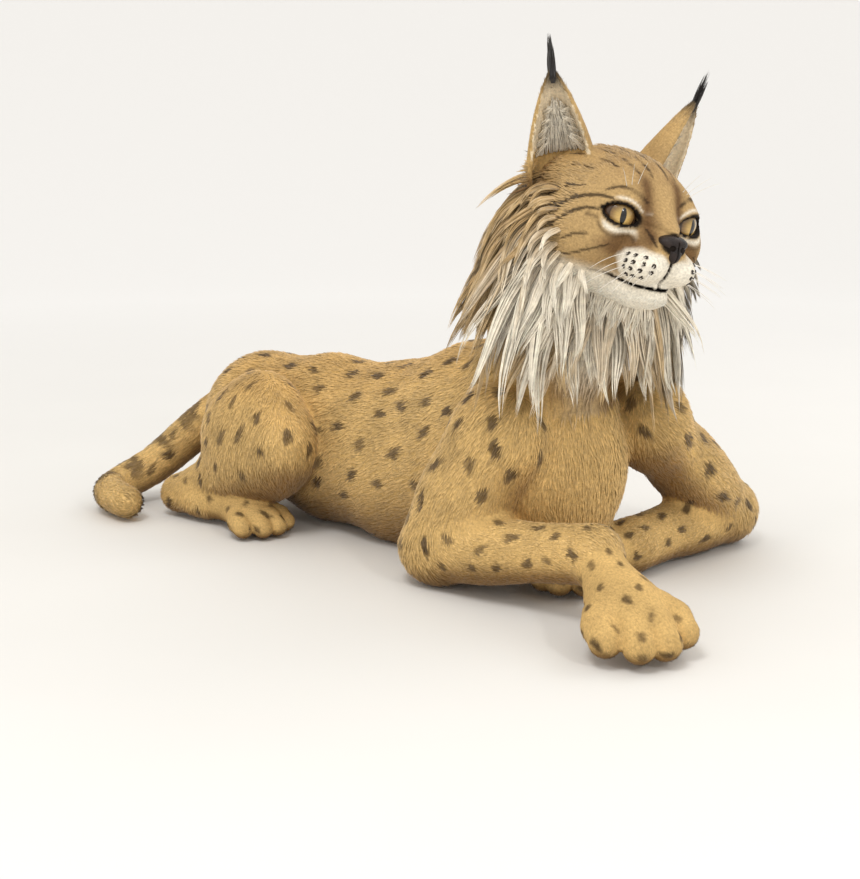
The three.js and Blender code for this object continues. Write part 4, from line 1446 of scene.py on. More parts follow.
def ruff_guides(s, rng, longest):
    """From below each ear round the cheek to the chin, in rows one behind the other.

    Q is each lock's share of the way to the chin, and back is how far it is behind the line."""
    line = curve(RUFF_LINE, 200)
    q, back = [], []
    for row, (behind, count) in enumerate(RUFF_ROWS):
        place_in_row = np.arange(count) + 0.3 + 0.4 * (row % 2) + rng.uniform(-0.15, 0.15, count)
        q += list(place_in_row / count)
        back += [behind] * count
    q, back = np.clip(np.array(q), 0, 1), np.array(back, float)
    back += rng.uniform(-4, 4, len(back))
    # Fewer rows reach the throat, where the jaw's fringe hangs
    keep = (q < 0.66) | (back > 0) & (q < 0.8) | (back > 14) & (q < 0.92)
    q, back = q[keep], back[keep]
    on = at_share(line, q) * vec(1, s, 1) - np.stack([back, 0 * q, 0 * q], 1)
    centre = from_head(np.stack([-8 - back * 0.8, 0 * q, 0 * q - 4], 1))
    field = head_and_neck()
    root = ray_out(field, centre, from_head(on) - centre)
    out = unit(slope(field, root, 1.5))
    rear, aside = -HEAD_TURN[:, 0], s * HEAD_TURN[:, 1]
    way = out * (0.62 - 0.3 * q)[:, None] + rear * mix(0.8, -0.1, q)[:, None]
    way = way + aside * 0.2 - UP * (0.75 + q * 0.5)[:, None]
    n = len(q)
    length = np.interp(q, *RUFF_LENGTHS) * longest / LONGEST_LOCK * rng.uniform(0.66, 1.08, n)
    width = mix(15, 21, np.sin(math.pi * q)) * rng.uniform(0.75, 1.2, n)
    return guides_from(
        root=root,
        out=out,
        way=way,
        length=length * mix(0.24, 1, step(-26, 18, back)),
        width=width * mix(0.34, 1, step(-26, 10, back)),
        fall=0.3,
        bend=rng.uniform(-0.2, 0.2, n),
        wave=rng.uniform(0.1, 0.34, n),
        phase=rng.uniform(0, TAU, n),
        front=q,
        back=back / 54,
    )


def jaw_guides(s, rng):
    """The short white fringe that hangs along the edge of the jaw."""
    q = np.concatenate([(np.arange(count) + rng.uniform(0, 1, count)) / count for count in (22, 20)])
    line = at_share(curve(JAW_LINE, 100), q) * vec(1, s, 1)
    centre = from_head(line * vec(1, 0.3, 0) + vec(-8, 0, -34))
    field = head_and_neck()
    root = ray_out(field, centre, from_head(line) - centre)
    out = unit(slope(field, root, 1.5))
    n = len(q)
    rear = -HEAD_TURN[:, 0]
    return guides_from(
        root=root,
        out=out,
        way=out * 0.25 + rear * 0.25 - UP,
        length=mix(62, 34, q) * rng.uniform(0.5, 1.15, n),
        width=8 * rng.uniform(0.7, 1.2, n),
        fall=0.2,
        bend=rng.uniform(-0.2, 0.2, n),
        wave=rng.uniform(0.1, 0.3, n),
        phase=rng.uniform(0, TAU, n),
        front=0.8,
        back=-0.4,
    )


def mane_guides(s, rng):
    """From the crown down the back and the sides of the neck, in rows from the middle outward."""
    q, angle = [], []
    for row, count in enumerate((10, 10, 9, 8, 7)):
        place_in_row = np.arange(count) + 0.25 + 0.4 * (row % 2) + rng.uniform(-0.2, 0.2, count)
        q += list(place_in_row / count)
        angle += list(6 + row * 21 + rng.uniform(-7, 7, count))
    q, angle = np.clip(np.array(q), 0, 1), np.radians(np.array(angle)) * s
    way = np.stack([-np.cos(angle), np.sin(angle), 0 * q + 0.2], 1) @ spin("z", -14).T
    field = head_and_neck()
    root = ray_out(field, at_share(curve(NAPE_LINE, 100), q), way)
    out = unit(slope(field, root, 1.5))
    n = len(q)
    return guides_from(
        root=root,
        out=out,
        way=out * 0.55 + vec(-0.3, 0, -0.8),
        length=mix(118, 96, q) * rng.uniform(0.62, 1.15, n),
        width=20 * rng.uniform(0.75, 1.2, n),
        fall=0.2,
        bend=rng.uniform(-0.16, 0.16, n),
        wave=rng.uniform(0.08, 0.26, n),
        phase=rng.uniform(0, TAU, n),
        front=0.0,
        back=1.3,
    )


def throat_guides(rng):
    """Rows across the throat, each below the last. They grow from the neck alone, clear of the lips."""
    at, turn = [], []
    for row, count in enumerate((8, 9, 9, 8)):
        at += [0.15 + row * 0.2] * count
        turn += list(((np.arange(count) + 0.5) / count - 0.5) * 160 + rng.uniform(-5, 5, count) - 20)
    at, turn = np.array(at), np.radians(np.array(turn))
    way = np.stack([np.cos(turn), np.sin(turn), 0 * at + 0.1], 1)
    field = FIELDS["neck"]
    root = ray_out(field, at_share(curve(GULLET_LINE, 100), at), way)
    out = unit(slope(field, root, 1.5))
    n = len(at)
    return guides_from(
        root=root,
        out=out,
        way=out * 0.5 + vec(0, 0, -0.9),
        length=mix(128, 82, at / 0.8) * rng.uniform(0.8, 1.1, n),
        width=20 * rng.uniform(0.75, 1.2, n),
        fall=0.3,
        bend=rng.uniform(-0.12, 0.12, n),
        wave=rng.uniform(0.08, 0.26, n),
        phase=rng.uniform(0, TAU, n),
        front=0.8,
        back=0.12 + 0.4 * rng.uniform(0, 1, n),
    )


def lock_tint(guides, number, colours, rng):
    """White in front, cream and gold behind it, brown with golden ends over the nape."""
    front, back = guides["front"][number], guides["back"][number]
    own = rng.uniform(-1, 1, len(guides["front"]))[number]
    fine = rng.uniform(-1, 1, len(number))
    pale = step(0.2, 0.42, front + 0.12 * own) * (1 - step(0.1, 0.62, back + 0.3 * own))
    pale = np.clip(pale + 0.18 * fine, 0, 1)
    warm = mix(colours.brown, colours.gold, np.clip(0.42 + 0.45 * own + 0.3 * fine, 0, 1)[:, None])
    root = mix(mix(colours.brown, warm, 0.35), mix(colours.gold, colours.white, 0.65), pale[:, None])
    tip = mix(mix(warm, colours.gold, 0.6), colours.white, np.clip(pale * 1.15, 0, 1)[:, None])
    return root, np.clip(tip * (1 + 0.1 * fine[:, None]), 0, 1)


def lock_object(name, guides, each, fine, rng, material, blend=0.45, tint=None, field=None, **combing):
    """A piece of locks, each of so many strands.

    Its own tint and field, where it has them, replace the coat's and the skin's."""
    paths, ups = comb(field or skin_data()["field"], guides, **combing)
    line, up, half, thick, number = bundle(paths, ups, guides, each, rng, fine)
    out = guides["out"][number]
    at = guides["root"][number] + rng.normal(0, 2.0, (len(number), 3))
    far = part_distances(at)
    if tint:
        tints = tint(number, rng)
    else:
        colours = palette()
        root, tip = lock_tint(guides, number, colours, rng)
        tints = (mix(root, coat_colour(colours, at, out, far, spot_places()), 0.6), tip)
    root_uv = atlas(at, at, far.argmin(1))
    made = strand_object(name, (line, up, half, thick), tints, root_uv, material, out, blend)
    place(made, "coat")


def cup_room(s):
    """How far each point is inside the cup of an ear, clear of its wall."""

    def field(p):
        _, out, _, _ = ear_parts(in_ear(to_head(p), s))
        return -(out + EAR_WALL + 0.8) * HEAD_SIZE

    return field


def ear_guides(s, rng):
    """The tuft at the tip and the pale hair that rises across the cup."""

    def way(rows):
        return np.asarray(rows, float) @ ear_turn(s).T @ HEAD_TURN.T

    def at(rows):
        return np.array([from_head(on_ear(s, e)) for e in rows])

    # The tuft's locks start 12 mm below the tip
    start, locks = 12, 7
    k = rng.uniform(-1, 1, locks)
    tuft = guides_from(
        root=at(np.stack([-3 + 2 * k, 2 * k, EAR_HIGH - 13 + 4 * np.abs(k)], 1)),
        out=way(np.stack([0 * k - 1, 0.3 * k, 0 * k], 1)),
        way=way(np.stack([-0.14 + 0.05 * k, 0.07 * k, 0 * k + 1], 1)),
        length=(bpy.context.scene.lynx_sizes.ear_tuft / MM + start) * rng.uniform(0.72, 1.0, locks),
        width=6.5,
        fall=-0.02,
        bend=0.02 * k,
    )
    side, high = [], []
    for up, count in ((0, 11), (8, 11), (17, 10), (27, 8), (38, 6)):
        side += list(np.linspace(-0.85, 0.85, count) * (1 - up / 80))
        high += [float(up)] * count
    side, high = np.array(side), np.array(high)
    cup = guides_from(
        root=at(np.stack([-9 + 12 * side**2 + 0.1 * high, side * EAR_WIDE * 0.42, high], 1)),
        out=way(np.stack([0 * side + 1, side * 0.3, 0 * side], 1)),
        way=way(np.stack([0 * side + 0.3, -side * 0.3, 0 * side + 1], 1)),
        length=mix(40, 28, np.abs(side)) * rng.uniform(0.7, 1.1, len(side)) * (1 - high / 90),
        width=6.0,
        fall=-0.03,
        bend=-side * 0.08,
    )
    return tuft, cup


# Settings
def colour_setting(name, about, code):
    return bpy.props.FloatVectorProperty(
        name=name,
        description=about,
        default=tuple(linear(code)),
        subtype="COLOR",
        size=3,
        min=0,
        max=1,
    )


def length_setting(name, about, millimetres):
    return bpy.props.FloatProperty(
        name=name,
        description=about,
        default=millimetres * MM,
        min=0,
        subtype="DISTANCE",
        unit="LENGTH",
    )


class LynxSizes(bpy.types.PropertyGroup):
    """Sizes of the coat."""

    body_hair: length_setting("Body hair", "Length of the tufts on back and flanks", 14)
    body_tuft: length_setting("Tuft width", "Width of a tuft of the body coat", 1.8)
    spot_length: length_setting("Spot length", "Length of the spots on the flank", 27)
    ruff_hair: length_setting("Ruff length", "Longest locks of the ruff", LONGEST_LOCK)
    ear_tuft: length_setting("Ear tuft", "Length of the dark tufts on the ears", 42)
    whisker: length_setting("Whiskers", "Longest whiskers", 85)
    cover: bpy.props.FloatProperty(
        name="Cover",
        description="How many times over the tufts of the short coat cover the skin",
        default=1.27,
        min=0.1,
    )


class LynxColours(bpy.types.PropertyGroup):
    """Colours of the coat."""

    tan: colour_setting("Tan", "Flanks and legs", "#dab473")
    face: colour_setting("Face", "Crown and cheeks", "#bb9b6b")
    back: colour_setting("Back", "Along the spine", "#d0a562")
    # Belly is painted shade: the dark brown given to the downward-facing underside
    belly: colour_setting("Belly", "Underside", "#805c31")
    spot: colour_setting("Spots", "Spots and stripes", "#3f2d1c")
    white: colour_setting("White", "Muzzle, chin and ruff", "#fbf2df")
    gold: colour_setting("Gold", "Pale tips of the mane", "#d3b27a")
    # Brown is also the painted shade beside the nose bridge and between the eyes and the nose
    brown: colour_setting("Brown", "Dark hair of the mane and face", "#6b4a2c")


# The view of the photograph: place in metres, turn in degrees, and focal length and the horizon's
# height over the picture's middle in pixels
CAMERA_AT = Vector((1.1249, -1.3406, 0.4907))
CAMERA_TURN = 40.0
FOCAL_PIXELS = 1440
PHOTO_PIXELS = 879
HORIZON_PIXELS = 289.5
SENSOR = 36
# Millimetres: how far the floor is flat, how far it reaches and how far it rises there
FLOOR_FLAT, FLOOR_REACH, FLOOR_RISE = 3500, 9000, 2600
FLOOR_SIDES = 96
# Name, place and size in metres, and power in watts
LIGHTS = [
    ("key", (0.5, -1.5, 2.6), 0.8, 26),
    ("front", (2.1, -0.85, 1.4), 0.22, 8),
    ("rim", (0.9, 1.6, 1.9), 1.2, 9),
]
LIT_PLACE = Vector((0.1, 0, 0.2))


class LYNX_OT_stage(bpy.types.Operator):
    """Camera, floor and lights."""

    bl_idname = "lynx.stage"
    bl_label = "Stage"
    bl_options = {"REGISTER", "UNDO"}

    def execute(self, context):
        scene = context.scene
        data = bpy.data.cameras.new("camera")
        data.sensor_width = SENSOR
        data.lens = FOCAL_PIXELS * SENSOR / PHOTO_PIXELS
        camera = bpy.data.objects.new("camera", data)
        scene.collection.objects.link(camera)
        camera.location = CAMERA_AT
        pitch = math.atan(HORIZON_PIXELS / FOCAL_PIXELS)
        camera.rotation_euler = (math.pi / 2 - pitch, 0, math.radians(CAMERA_TURN))
        scene.camera = camera
        # A round sheet that curves up far behind the animal, so that no edge shows
        curved = np.linspace(FLOOR_FLAT + 300, FLOOR_REACH, 30)
        far = np.concatenate([np.linspace(0, FLOOR_FLAT, 8), curved])
        rise = FLOOR_RISE * np.clip((far - FLOOR_FLAT) / (FLOOR_REACH - FLOOR_FLAT), 0, 1) ** 2
        far, rise = far[:, None], rise[:, None]
        turn = np.arange(FLOOR_SIDES) / FLOOR_SIDES * TAU
        sheet = np.stack([far * np.cos(turn), far * np.sin(turn), rise + 0 * turn], -1)
        index = np.arange(len(far) * FLOOR_SIDES).reshape(len(far), FLOOR_SIDES)
        inner, outer = index[:-1], index[1:]
        faces = np.stack([inner, outer, np.roll(outer, -1, 1), np.roll(inner, -1, 1)], -1).reshape(-1, 4)
        floor = new_object("floor", sheet.reshape(-1, 3), faces, material=floor_material())
        world = bpy.data.worlds.new("pale room")
        scene.world = world
        world.use_nodes = True
        shade = world.node_tree.nodes["Background"]
        shade.inputs["Color"].default_value = (*linear("#f4f2ee"), 1)
        shade.inputs["Strength"].default_value = 1.0
        scene.view_settings.view_transform = "Standard"
        for name, where, size, power in LIGHTS:
            light = bpy.data.lights.new(name, "AREA")
            light.size = size
            light.energy = power
            lamp = bpy.data.objects.new(name, light)
            scene.collection.objects.link(lamp)
            lamp.location = where
            toward = LIT_PLACE - lamp.location
            lamp.rotation_euler = toward.to_track_quat("-Z", "Y").to_euler()
        return {"FINISHED"}


# The solids that the skin stands for
PAIRS = ("ear", "upper_arm", "forearm", "forepaw", "thigh", "shank", "hindfoot")
FLESH = ["rump", "belly", "chest", "neck", "head", "tail_base", "tail_tip"]
FLESH += [f"{part}_{side}" for part in PAIRS for side in ("left", "right")]


class LYNX_OT_skin(bpy.types.Operator):
    """One skin over the whole animal."""

    bl_idname = "lynx.skin"
    bl_label = "Skin"
    bl_options = {"REGISTER", "UNDO"}

    def execute(self, context):
        skin = skin_data()
        verts, faces = skin["verts"], skin["faces"]
        colour = coat_colour(palette(), verts, skin["normals"], skin["far"], spot_places())
        part = skin["part"][faces[:, 0]]
        middle = verts[faces].mean(1)
        uv = atlas(verts[faces].reshape(-1, 3), np.repeat(middle, 4, 0), np.repeat(part, 4))
        made = new_object("skin", verts, faces, colour, uv, skin_material())
        place(made, "coat", *FLESH)
        return {"FINISHED"}


# Tuft length as a share of the body's, and how many degrees a tuft stands off the skin, by kind of part
HAIR_SHARE = {
    "trunk": 1.0,
    "head": 0.5,
    "neck": 1.5,
    "arm": 0.92,
    "forearm": 0.7,
    "paw": 0.42,
    "thigh": 0.85,
    "shank": 0.6,
    "sole": 0.4,
    "tail": 0.9,
}
HAIR_LIFT = dict.fromkeys(HAIR_SHARE, 13.0) | {"head": 14.0, "neck": 16.0, "paw": 15.0, "sole": 15.0}


def coat_lengths(root, part):
    """Tuft length, width and lift in degrees at each root."""
    sizes = bpy.context.scene.lynx_sizes
    body = sizes.body_hair / MM
    length = body * per_part(HAIR_SHARE, part)
    head = part == HEAD_PART
    q = to_head(root)
    r = np.abs(q * vec(0, 1, 0)) + q * vec(1, 0, 1)
    back = step(70, -30, q[:, 0])
    face = mix(4.2, 14, back)
    cheek = step(40, 4, q[:, 0]) * step(36, 50, r[:, 1]) * step(34, 10, q[:, 2])
    nape = step(-30, -70, q[:, 0])
    face = face + 12 * cheek + 10 * nape
    face = np.where(q[:, 2] < -30, face * 1.35, face)
    pad = np.linalg.norm((r - vec(82, 16, -27)) / vec(24, 24, 16), axis=1)
    face = np.where(pad < 1.2, np.minimum(face, mix(2.5, 6.0, step(0.85, 1.2, pad))), face)
    near_eye = np.linalg.norm(r - vec(62, 36, 12), axis=1)
    face = np.where(near_eye < 26, np.minimum(face, mix(3.0, 6.0, step(14, 26, near_eye))), face)
    lip = np.abs(q[:, 2] - mouth_height(q[:, 0]))
    face = np.where((lip < 5) & (q[:, 0] > 44), np.minimum(face, 2.2), face)
    for s in (1, -1):
        e = in_ear(q, s)
        ear = (e[:, 2] > -2) & (np.abs(e[:, 1]) < 44) & (np.abs(e[:, 0]) < 46)
        face = np.where(ear, 6.5, face)
    length = np.where(head, face, length)
    fine = head | np.isin(np.array(KINDS)[part], ("paw", "sole"))
    wide = sizes.body_tuft / MM * (0.55 + 0.45 * length / body)
    width = np.where(fine, 0.66 + 0.062 * length, wide)
    return length, width, per_part(HAIR_LIFT, part)


def bare_places(p):
    """True where no fur grows: what lies on the floor, the rims of the lids, the lips and the nose."""
    q = to_head(p)
    bare = p[:, 2] < 2.6
    for s in (1, -1):
        e = in_eye(q, s)
        bare |= (lid_opening(q, s) < 1.6) & (e[:, 0] > 0) & (size_of(e) < EYE_R + 4.5)
    lips = np.abs(q[:, 2] - mouth_height(q[:, 0]))
    bare |= (lips < 1.7) & (q[:, 0] > 46) & (np.abs(q[:, 1]) < 60)
    nose = np.linalg.norm((q - vec(95, 0, -5)) / vec(12, 14.5, 10.5), axis=1)
    return bare | (nose < 1)


class LYNX_OT_coat(bpy.types.Operator):
    """Short tufts that lie along the body, the legs, the tail and the face."""

    bl_idname = "lynx.coat"
    bl_label = "Coat"
    bl_options = {"REGISTER", "UNDO"}

    # Tufts shorter than this are straight, and the others bend once
    straight_below = 8.0
    # The steps of a strand's line that each kind keeps, and its triangles
    kinds = [("", [0, 1, 2], 10), ("_short", [0, 2], 4)]
    most_triangles = 190000
    groups = {
        "coat_trunk": ("trunk",),
        "coat_forelegs": ("arm", "forearm", "paw"),
        "coat_hindlegs": ("thigh", "shank", "sole", "tail"),
        "coat_neck": ("neck",),
        "coat_face": ("head",),
    }

    def execute(self, context):
        skin = skin_data()
        rng = np.random.default_rng(41)
        length, width, _ = coat_lengths(skin["verts"], skin["part"])
        cover = context.scene.lynx_sizes.cover * 1
        density = cover / (length * width * 0.6)
        # The neck's coat is thinner, as the long locks hang over it
        density = np.where(skin["part"] == NECK_PART, density * 0.45, density)
        density = np.where(bare_places(skin["verts"]), 0, density)
        root, normal, way, part = scatter(density, rng)
        keep = ~bare_places(root)
        root, normal, way, part = (x[keep] for x in (root, normal, way, part))
        length, width, lift = coat_lengths(root, part)
        seen = root + way * (length * 0.42)[:, None]
        tint = coat_colour(palette(), seen, normal, part_distances(seen), spot_places())
        count = len(root)
        length = length * rng.uniform(0.75, 1.2, count)
        side = np.cross(normal, way)
        clump = noise(root, 24, 31)[:, None] * 0.22 + rng.normal(0, 0.1, (count, 1))
        way = unit(way + side * clump)
        side = np.cross(normal, way)
        lift = np.radians(lift * rng.uniform(0.6, 1.35, count))[:, None]
        first = unit(way * np.cos(lift) + normal * np.sin(lift))
        second = unit(way * np.cos(lift * 0.35) + normal * np.sin(lift * 0.35))
        q = to_head(root)
        # Tufts start less deep in the thin walls of the ears
        ear = (np.minimum(in_ear(q, 1)[:, 2], in_ear(q, -1)[:, 2]) > 0) & (part == HEAD_PART)
        start = root - normal * np.where(ear, 0.2, 0.8)[:, None]
        half_way = start + first * (length * 0.5)[:, None]
        end = half_way + second * (length * 0.5)[:, None]
        paths = np.stack([start, half_way, end], 1)
        ups = np.repeat(normal[:, None], 3, 1)
        half = np.stack([width * 0.34, width * 0.5], 1)
        thick = np.stack([width * 0.3, width * 0.36], 1)
        tone = rng.uniform(0.84, 1.14, (count, 1))
        # Painted shade: each tuft is darker towards its root, where the tufts shade each other near the
        # skin, and lighter at its tip
        shaded_root_colour, tip_colour = tint * tone * 0.72, np.clip(tint * tone * 1.14, 0, 1)
        uv = atlas(root, root, part)
        material = short_fur()
        group = np.array(KINDS)[part]
        short = length < self.straight_below
        for label, parts in self.groups.items():
            for suffix, steps, triangles in self.kinds:
                chosen = np.flatnonzero(np.isin(group, parts) & (short == (suffix == "_short")))
                pieces = math.ceil(len(chosen) * triangles / self.most_triangles)
                for i, index in enumerate(np.array_split(chosen, pieces) if pieces else []):
                    line = np.ix_(index, steps)
                    # A straight tuft has only the ring at its wider middle
                    rings = np.ix_(index, [0, 1] if len(steps) == 3 else [1])
                    shape = (paths[line], ups[line], half[rings], thick[rings])
                    tints = (shaded_root_colour[index], tip_colour[index])
                    name = f"{label}{suffix}_{i + 1}"
                    made = strand_object(name, shape, tints, uv[index], material, normal[index], 0.7)
                    place(made, "coat")
        return {"FINISHED"}


class LYNX_OT_ruff(bpy.types.Operator):
    """Long locks: ruff and beard, mane and throat."""

    bl_idname = "lynx.ruff"
    bl_label = "Ruff and mane"
    bl_options = {"REGISTER", "UNDO"}

    def execute(self, context):
        rng = np.random.default_rng(97)
        material = fur_material("Long guard hair", rough=0.5, sheen=0.1, grain=9)
        longest = context.scene.lynx_sizes.ruff_hair / MM
        each = 25
        for side, s in (("left", 1), ("right", -1)):
            lock_object("ruff_" + side, ruff_guides(s, rng, longest), each, 2.3, rng, material)
            lock_object("mane_" + side, mane_guides(s, rng), each, 2.5, rng, material)
            lock_object("jaw_fringe_" + side, jaw_guides(s, rng), each // 3, 1.3, rng, material, lift=3)
        lock_object("throat", throat_guides(rng), each, 2.4, rng, material)
        return {"FINISHED"}


class LYNX_OT_ears(bpy.types.Operator):
    """The dark tufts on the ears and the pale hair in their cups."""

    bl_idname = "lynx.ears"
    bl_label = "Ear hair"
    bl_options = {"REGISTER", "UNDO"}

    def execute(self, context):
        rng = np.random.default_rng(5)
        colours = palette()
        material = fur_material("Ear hair", rough=0.5, sheen=0.1, grain=6)

        def dark(number, rng):
            tone = rng.uniform(0.5, 1.2, (len(number), 1)) * colours.spot * 0.35
            return tone * 0.8, tone

        def pale(number, rng):
            tone = colours.white * rng.uniform(0.7, 1.0, (len(number), 1))
            return tone * 0.8, tone

        for side, s in (("left", 1), ("right", -1)):
            tuft, cup = ear_guides(s, rng)
            lock_object("tuft_" + side, tuft, 16, 1.2, rng, material, 0.2, tint=dark, lift=0)
            # The hair in the cup keeps clear of its wall, not of the skin round the ear
            inside = {"field": cup_room(s), "lift": 0.6, "sink": 0.5}
            lock_object("cup_hair_" + side, cup, 11, 1.3, rng, material, 0.2, tint=pale, **inside)
        return {"FINISHED"}


class LYNX_OT_eyes(bpy.types.Operator):
    """Golden eyes with upright pupils, set behind the lids."""

    bl_idname = "lynx.eyes"
    bl_label = "Eyes"
    bl_options = {"REGISTER", "UNDO"}

    # Degrees from the middle of the gaze
    iris = 41
    pupil_wide, pupil_high = 8.5, 24
    gaze = 17
    fibres = ((23, 0.5), (41, 0.35), (67, 0.3), (11, 0.3))

    def tint(self, angle, turn):
        """Iris darker to its edge, painted shade on its top and painted light on its bottom, upright
        pupil, and dark white of the eye.
        """
        u, v = angle * np.cos(turn), angle * np.sin(turn)
        fibre = sum(np.sin(turn * n + n * n) * w for n, w in self.fibres)
        iris = self.iris + 0.5 * np.sin(turn * 3)
        outward = np.clip(angle / iris, 0, 1)
        edge = step(0.35, 0.85, outward + 0.05 * fibre)
        rgb = mix(linear("#c8a560"), linear("#8a6a3c"), edge[..., None])
        # Painted shade and light: the iris darkens towards its top, under the upper lid, and brightens
        # towards its bottom
        rgb = rgb * mix(1.2, 0.6, step(-22, 26, v))[..., None]
        rgb = rgb * (1 + 0.22 * fibre * step(0.2, 0.5, outward))[..., None]
        rgb = mix(rgb, linear("#33200e"), step(0.84, 1.0, outward)[..., None])
        white = mix(linear("#4a3423"), linear("#2a1c12"), step(45, 70, angle)[..., None])
        rgb = mix(rgb, white, step(40.5, 43.5, angle)[..., None])
        pupil = np.hypot(u / self.pupil_wide, v / self.pupil_high)
        rgb = mix(linear("#050403"), rgb, step(0.92, 1.06, pupil)[..., None])
        return np.clip(rgb.reshape(-1, 3), 0, 1)

    def execute(self, context):
        material = eye_material()
        rings, fine_rings, around = 96, 72, 128
        theta = np.concatenate([np.linspace(0, 60, fine_rings), np.linspace(62, 180, rings - fine_rings)])
        phi = np.arange(around) / around * TAU
        angle, turn = np.meshgrid(theta, phi, indexing="ij")
        # The cornea bulges in front
        radius = EYE_R + 0.9 * np.exp(-((angle / 30) ** 2)) - 0.4
        x, r = np.cos(np.radians(angle)), np.sin(np.radians(angle))
        ball = np.stack([x, r * np.cos(turn), r * np.sin(turn)], -1) * radius[..., None]
        colour = self.tint(angle, turn)
        index = np.arange(rings * around).reshape(rings, around)
        a, b = index[:-1], np.roll(index, -1, 1)[:-1]
        c, d = np.roll(index, -1, 1)[1:], index[1:]
        faces = np.stack([a, d, c, b], -1).reshape(-1, 4)
        # The last face of each ring ends at the right edge of the map
        uv = np.stack([turn / TAU, angle / 180], -1).reshape(-1, 2)[faces]
        middle = np.tile((np.arange(around) + 0.5) / around, rings - 1)
        uv[:, :, 0] += uv[:, :, 0] < middle[:, None] - 0.5
        for side, s in (("left", 1), ("right", -1)):
            gaze = spin("z", self.gaze * s) @ spin("y", 2)
            q = eye_place(s) + ball.reshape(-1, 3) @ gaze.T
            verts = from_head(q)
            made = new_object("eyeball_" + side, verts, faces, colour, uv.reshape(-1, 2), material)
            place(made, "eye", "eye_" + side)
        return {"FINISHED"}


def nose_field(q):
    """Nose leather with comma-shaped nostrils and the groove between them."""
    d = soft(5, egg((90.5, 0, -3), (12, 14.5, 6.8)), egg((95, 0, -11.5), (8, 6.8, 8.5)))(q)
    front = q[:, 0] - 101 + 0.18 * q[:, 2] + 0.012 * q[:, 1] ** 2
    d = -soft_min(-d, -front, 5)
    for s in (1, -1):
        hole = egg((102, s * 6.0, -7.0), (5.5, 3.4, 2.9), spin("z", 24 * s))(q)
        comma = rod((101, s * 8.0, -6.0), (94, s * 15.5, -7.0), 1.6, 0.9)(q)
        d = np.maximum(d, -np.minimum(hole, comma))
    groove = np.hypot(q[:, 1], np.maximum(d + 0.2, 0)) - 0.7
    groove = np.maximum(groove, q[:, 2] + 1)
    return np.maximum(d, -np.maximum(groove, -(d + 1.1)))


class LYNX_OT_nose(bpy.types.Operator):
    """The bare nose."""

    bl_idname = "lynx.nose"
    bl_label = "Nose"
    bl_options = {"REGISTER", "UNDO"}

    def execute(self, context):
        gap = 0.7
        axes = [rising((78, 110, gap)), rising((-19, 19, gap)), rising((-24, 9, gap))]
        verts, faces = surface_net(nose_field, axes)
        uv = np.stack([(verts[:, 1] + 20) / 40, (verts[:, 2] - verts[:, 0] + 130) / 80], 1)
        made = new_object("nose_leather", from_head(verts), faces, uv=uv, material=nose_material())
        place(made, "nose_skin", "nose")
        return {"FINISHED"}


def whisker_dots(s, rng, each=22):
    """Lines of the short dark tufts round the root of each whisker, a little proud of the white ones."""
    field = face_field()
    middle = np.repeat(whisker_roots(s), each, 0)
    normal = unit(slope(field, middle))
    way = unit(middle - vec(96, 0, -6))
    way = unit(way - normal * (way * normal).sum(1, keepdims=True))
    side = np.cross(normal, way)
    radius = 1.9
    far = radius * np.sqrt(rng.uniform(0, 1, len(middle)))
    turn = rng.uniform(0, TAU, len(middle))
    root = middle + way * (far * np.cos(turn) - 1.0)[:, None] + side * (far * np.sin(turn))[:, None]
    root = root - normal * field(root)[:, None]
    path = [root - normal * 2.9, root - normal * 1.3 + way * 0.8, root - normal * 1.0 + way * 2.2]
    return from_head(np.stack(path, 1)), normal @ HEAD_TURN.T


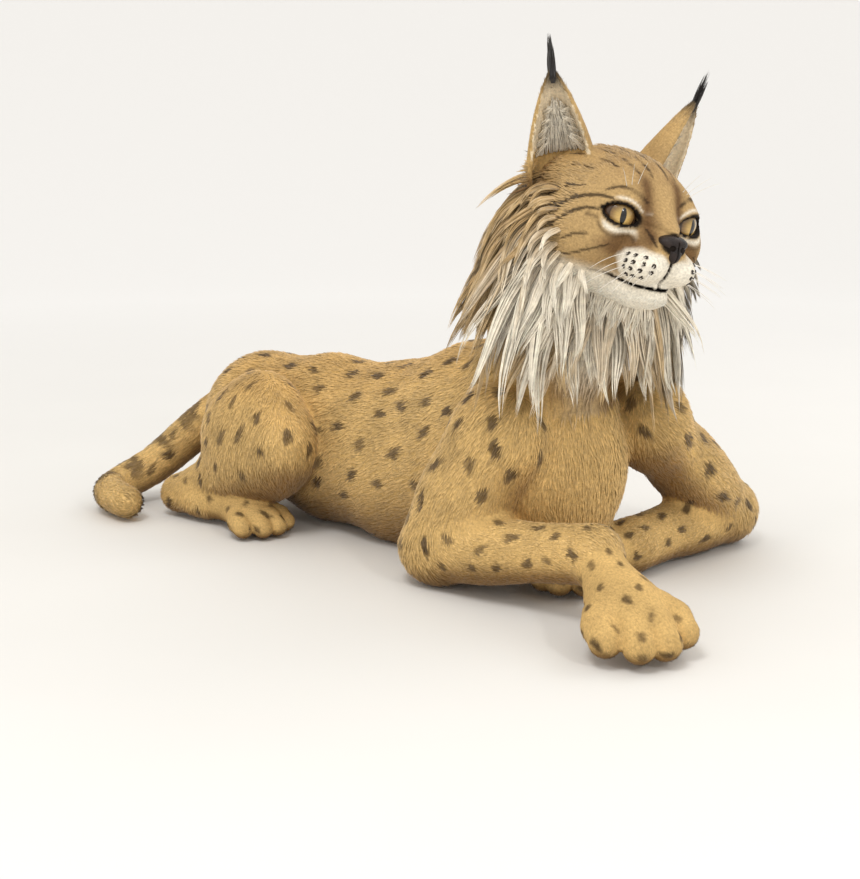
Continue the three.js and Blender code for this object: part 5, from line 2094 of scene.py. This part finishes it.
class LYNX_OT_whiskers(bpy.types.Operator):
    """Whiskers on the lips and above the eyes, and the dark dots that those on the lips grow from."""

    bl_idname = "lynx.whiskers"
    bl_label = "Whiskers"
    bl_options = {"REGISTER", "UNDO"}

    def execute(self, context):
        rng = np.random.default_rng(8)
        keratin, fur = whisker_material(), short_fur()
        longest = context.scene.lynx_sizes.whisker / MM
        steps, thickest, thinnest = 10, 0.42, 0.12
        for side, s in (("left", 1), ("right", -1)):
            roots = whisker_roots(s)
            n = len(roots)
            back = (90 - roots[:, 0]) / 28
            rise = -0.12 + 0.012 * (roots[:, 2] + 17)
            ways = np.stack([0.55 - 0.75 * back, np.full(n, 1.0 * s), rise], 1)
            lengths = longest * mix(0.4, 1, np.clip(back, 0, 1)) * rng.uniform(0.8, 1, n)
            brow = np.array([(56, s * y, 36) for y in (24, 29, 34)], float)
            roots = np.concatenate([roots, brow])
            ways = np.concatenate([ways, [(0.5, s * (0.2 + 0.3 * i), 1) for i in range(3)]])
            lengths = np.concatenate([lengths, np.full(3, longest * 0.5)])
            root, way = from_head(roots), unit(ways) @ HEAD_TURN.T
            n = len(root)
            t = np.linspace(0, 1, steps)
            far = t[None] * lengths[:, None]
            droop = (t[None] ** 2) * lengths[:, None] * rng.uniform(0.1, 0.26, (n, 1))
            start = root[:, None] - way[:, None] * 3
            line = start + way[:, None] * far[..., None] - UP * droop[..., None]
            ups = np.broadcast_to(UP, line.shape)
            half = np.broadcast_to(mix(thickest, thinnest, t[:-1]), (n, steps - 1))
            verts, faces, rows, cols, _ = strands(line, ups, half, half * 1.7)
            uv = np.stack([0.5 + cols * 0.02, rows], 1)
            made = new_object("whiskers_" + side, verts, faces, uv=uv, material=keratin)
            place(made, "coat")
            path, out = whisker_dots(s, rng)
            n = len(path)
            tone = np.broadcast_to(palette().spot * 0.45, (n, 3))
            half = np.broadcast_to(vec(0.42, 0.5), (n, 2))
            shape = (path, np.repeat(out[:, None], 3, 1), half, half * 0.8)
            root_uv = atlas(path[:, 0], path[:, 0], np.full(n, HEAD_PART))
            made = strand_object("whisker_dots_" + side, shape, (tone, tone), root_uv, fur, out, 0.5)
            place(made, "dark_coat")
        return {"FINISHED"}


OPERATORS = [
    LYNX_OT_stage,
    LYNX_OT_skin,
    LYNX_OT_eyes,
    LYNX_OT_nose,
    LYNX_OT_coat,
    LYNX_OT_ruff,
    LYNX_OT_ears,
    LYNX_OT_whiskers,
]


class LYNX_PT_panel(bpy.types.Panel):
    """Sizes, colours and the steps that make each piece."""

    bl_idname = "LYNX_PT_panel"
    bl_label = "Resting Lynx"
    bl_space_type = "VIEW_3D"
    bl_region_type = "UI"
    bl_category = "Lynx"

    def draw(self, context):
        for group in (context.scene.lynx_sizes, context.scene.lynx_colours):
            for name in group.__annotations__:
                self.layout.prop(group, name)
        for operator in OPERATORS:
            self.layout.operator(operator.bl_idname)


CLASSES = [LynxSizes, LynxColours, *OPERATORS, LYNX_PT_panel]


def register():
    for cls in CLASSES:
        bpy.utils.register_class(cls)
    bpy.types.Scene.lynx_sizes = bpy.props.PointerProperty(type=LynxSizes)
    bpy.types.Scene.lynx_colours = bpy.props.PointerProperty(type=LynxColours)


def unregister():
    del bpy.types.Scene.lynx_colours
    del bpy.types.Scene.lynx_sizes
    for cls in reversed(CLASSES):
        bpy.utils.unregister_class(cls)


def main():
    register()
    for operator in OPERATORS:
        getattr(bpy.ops.lynx, operator.bl_idname.split(".")[1])()


if __name__ == "__main__":
    main()
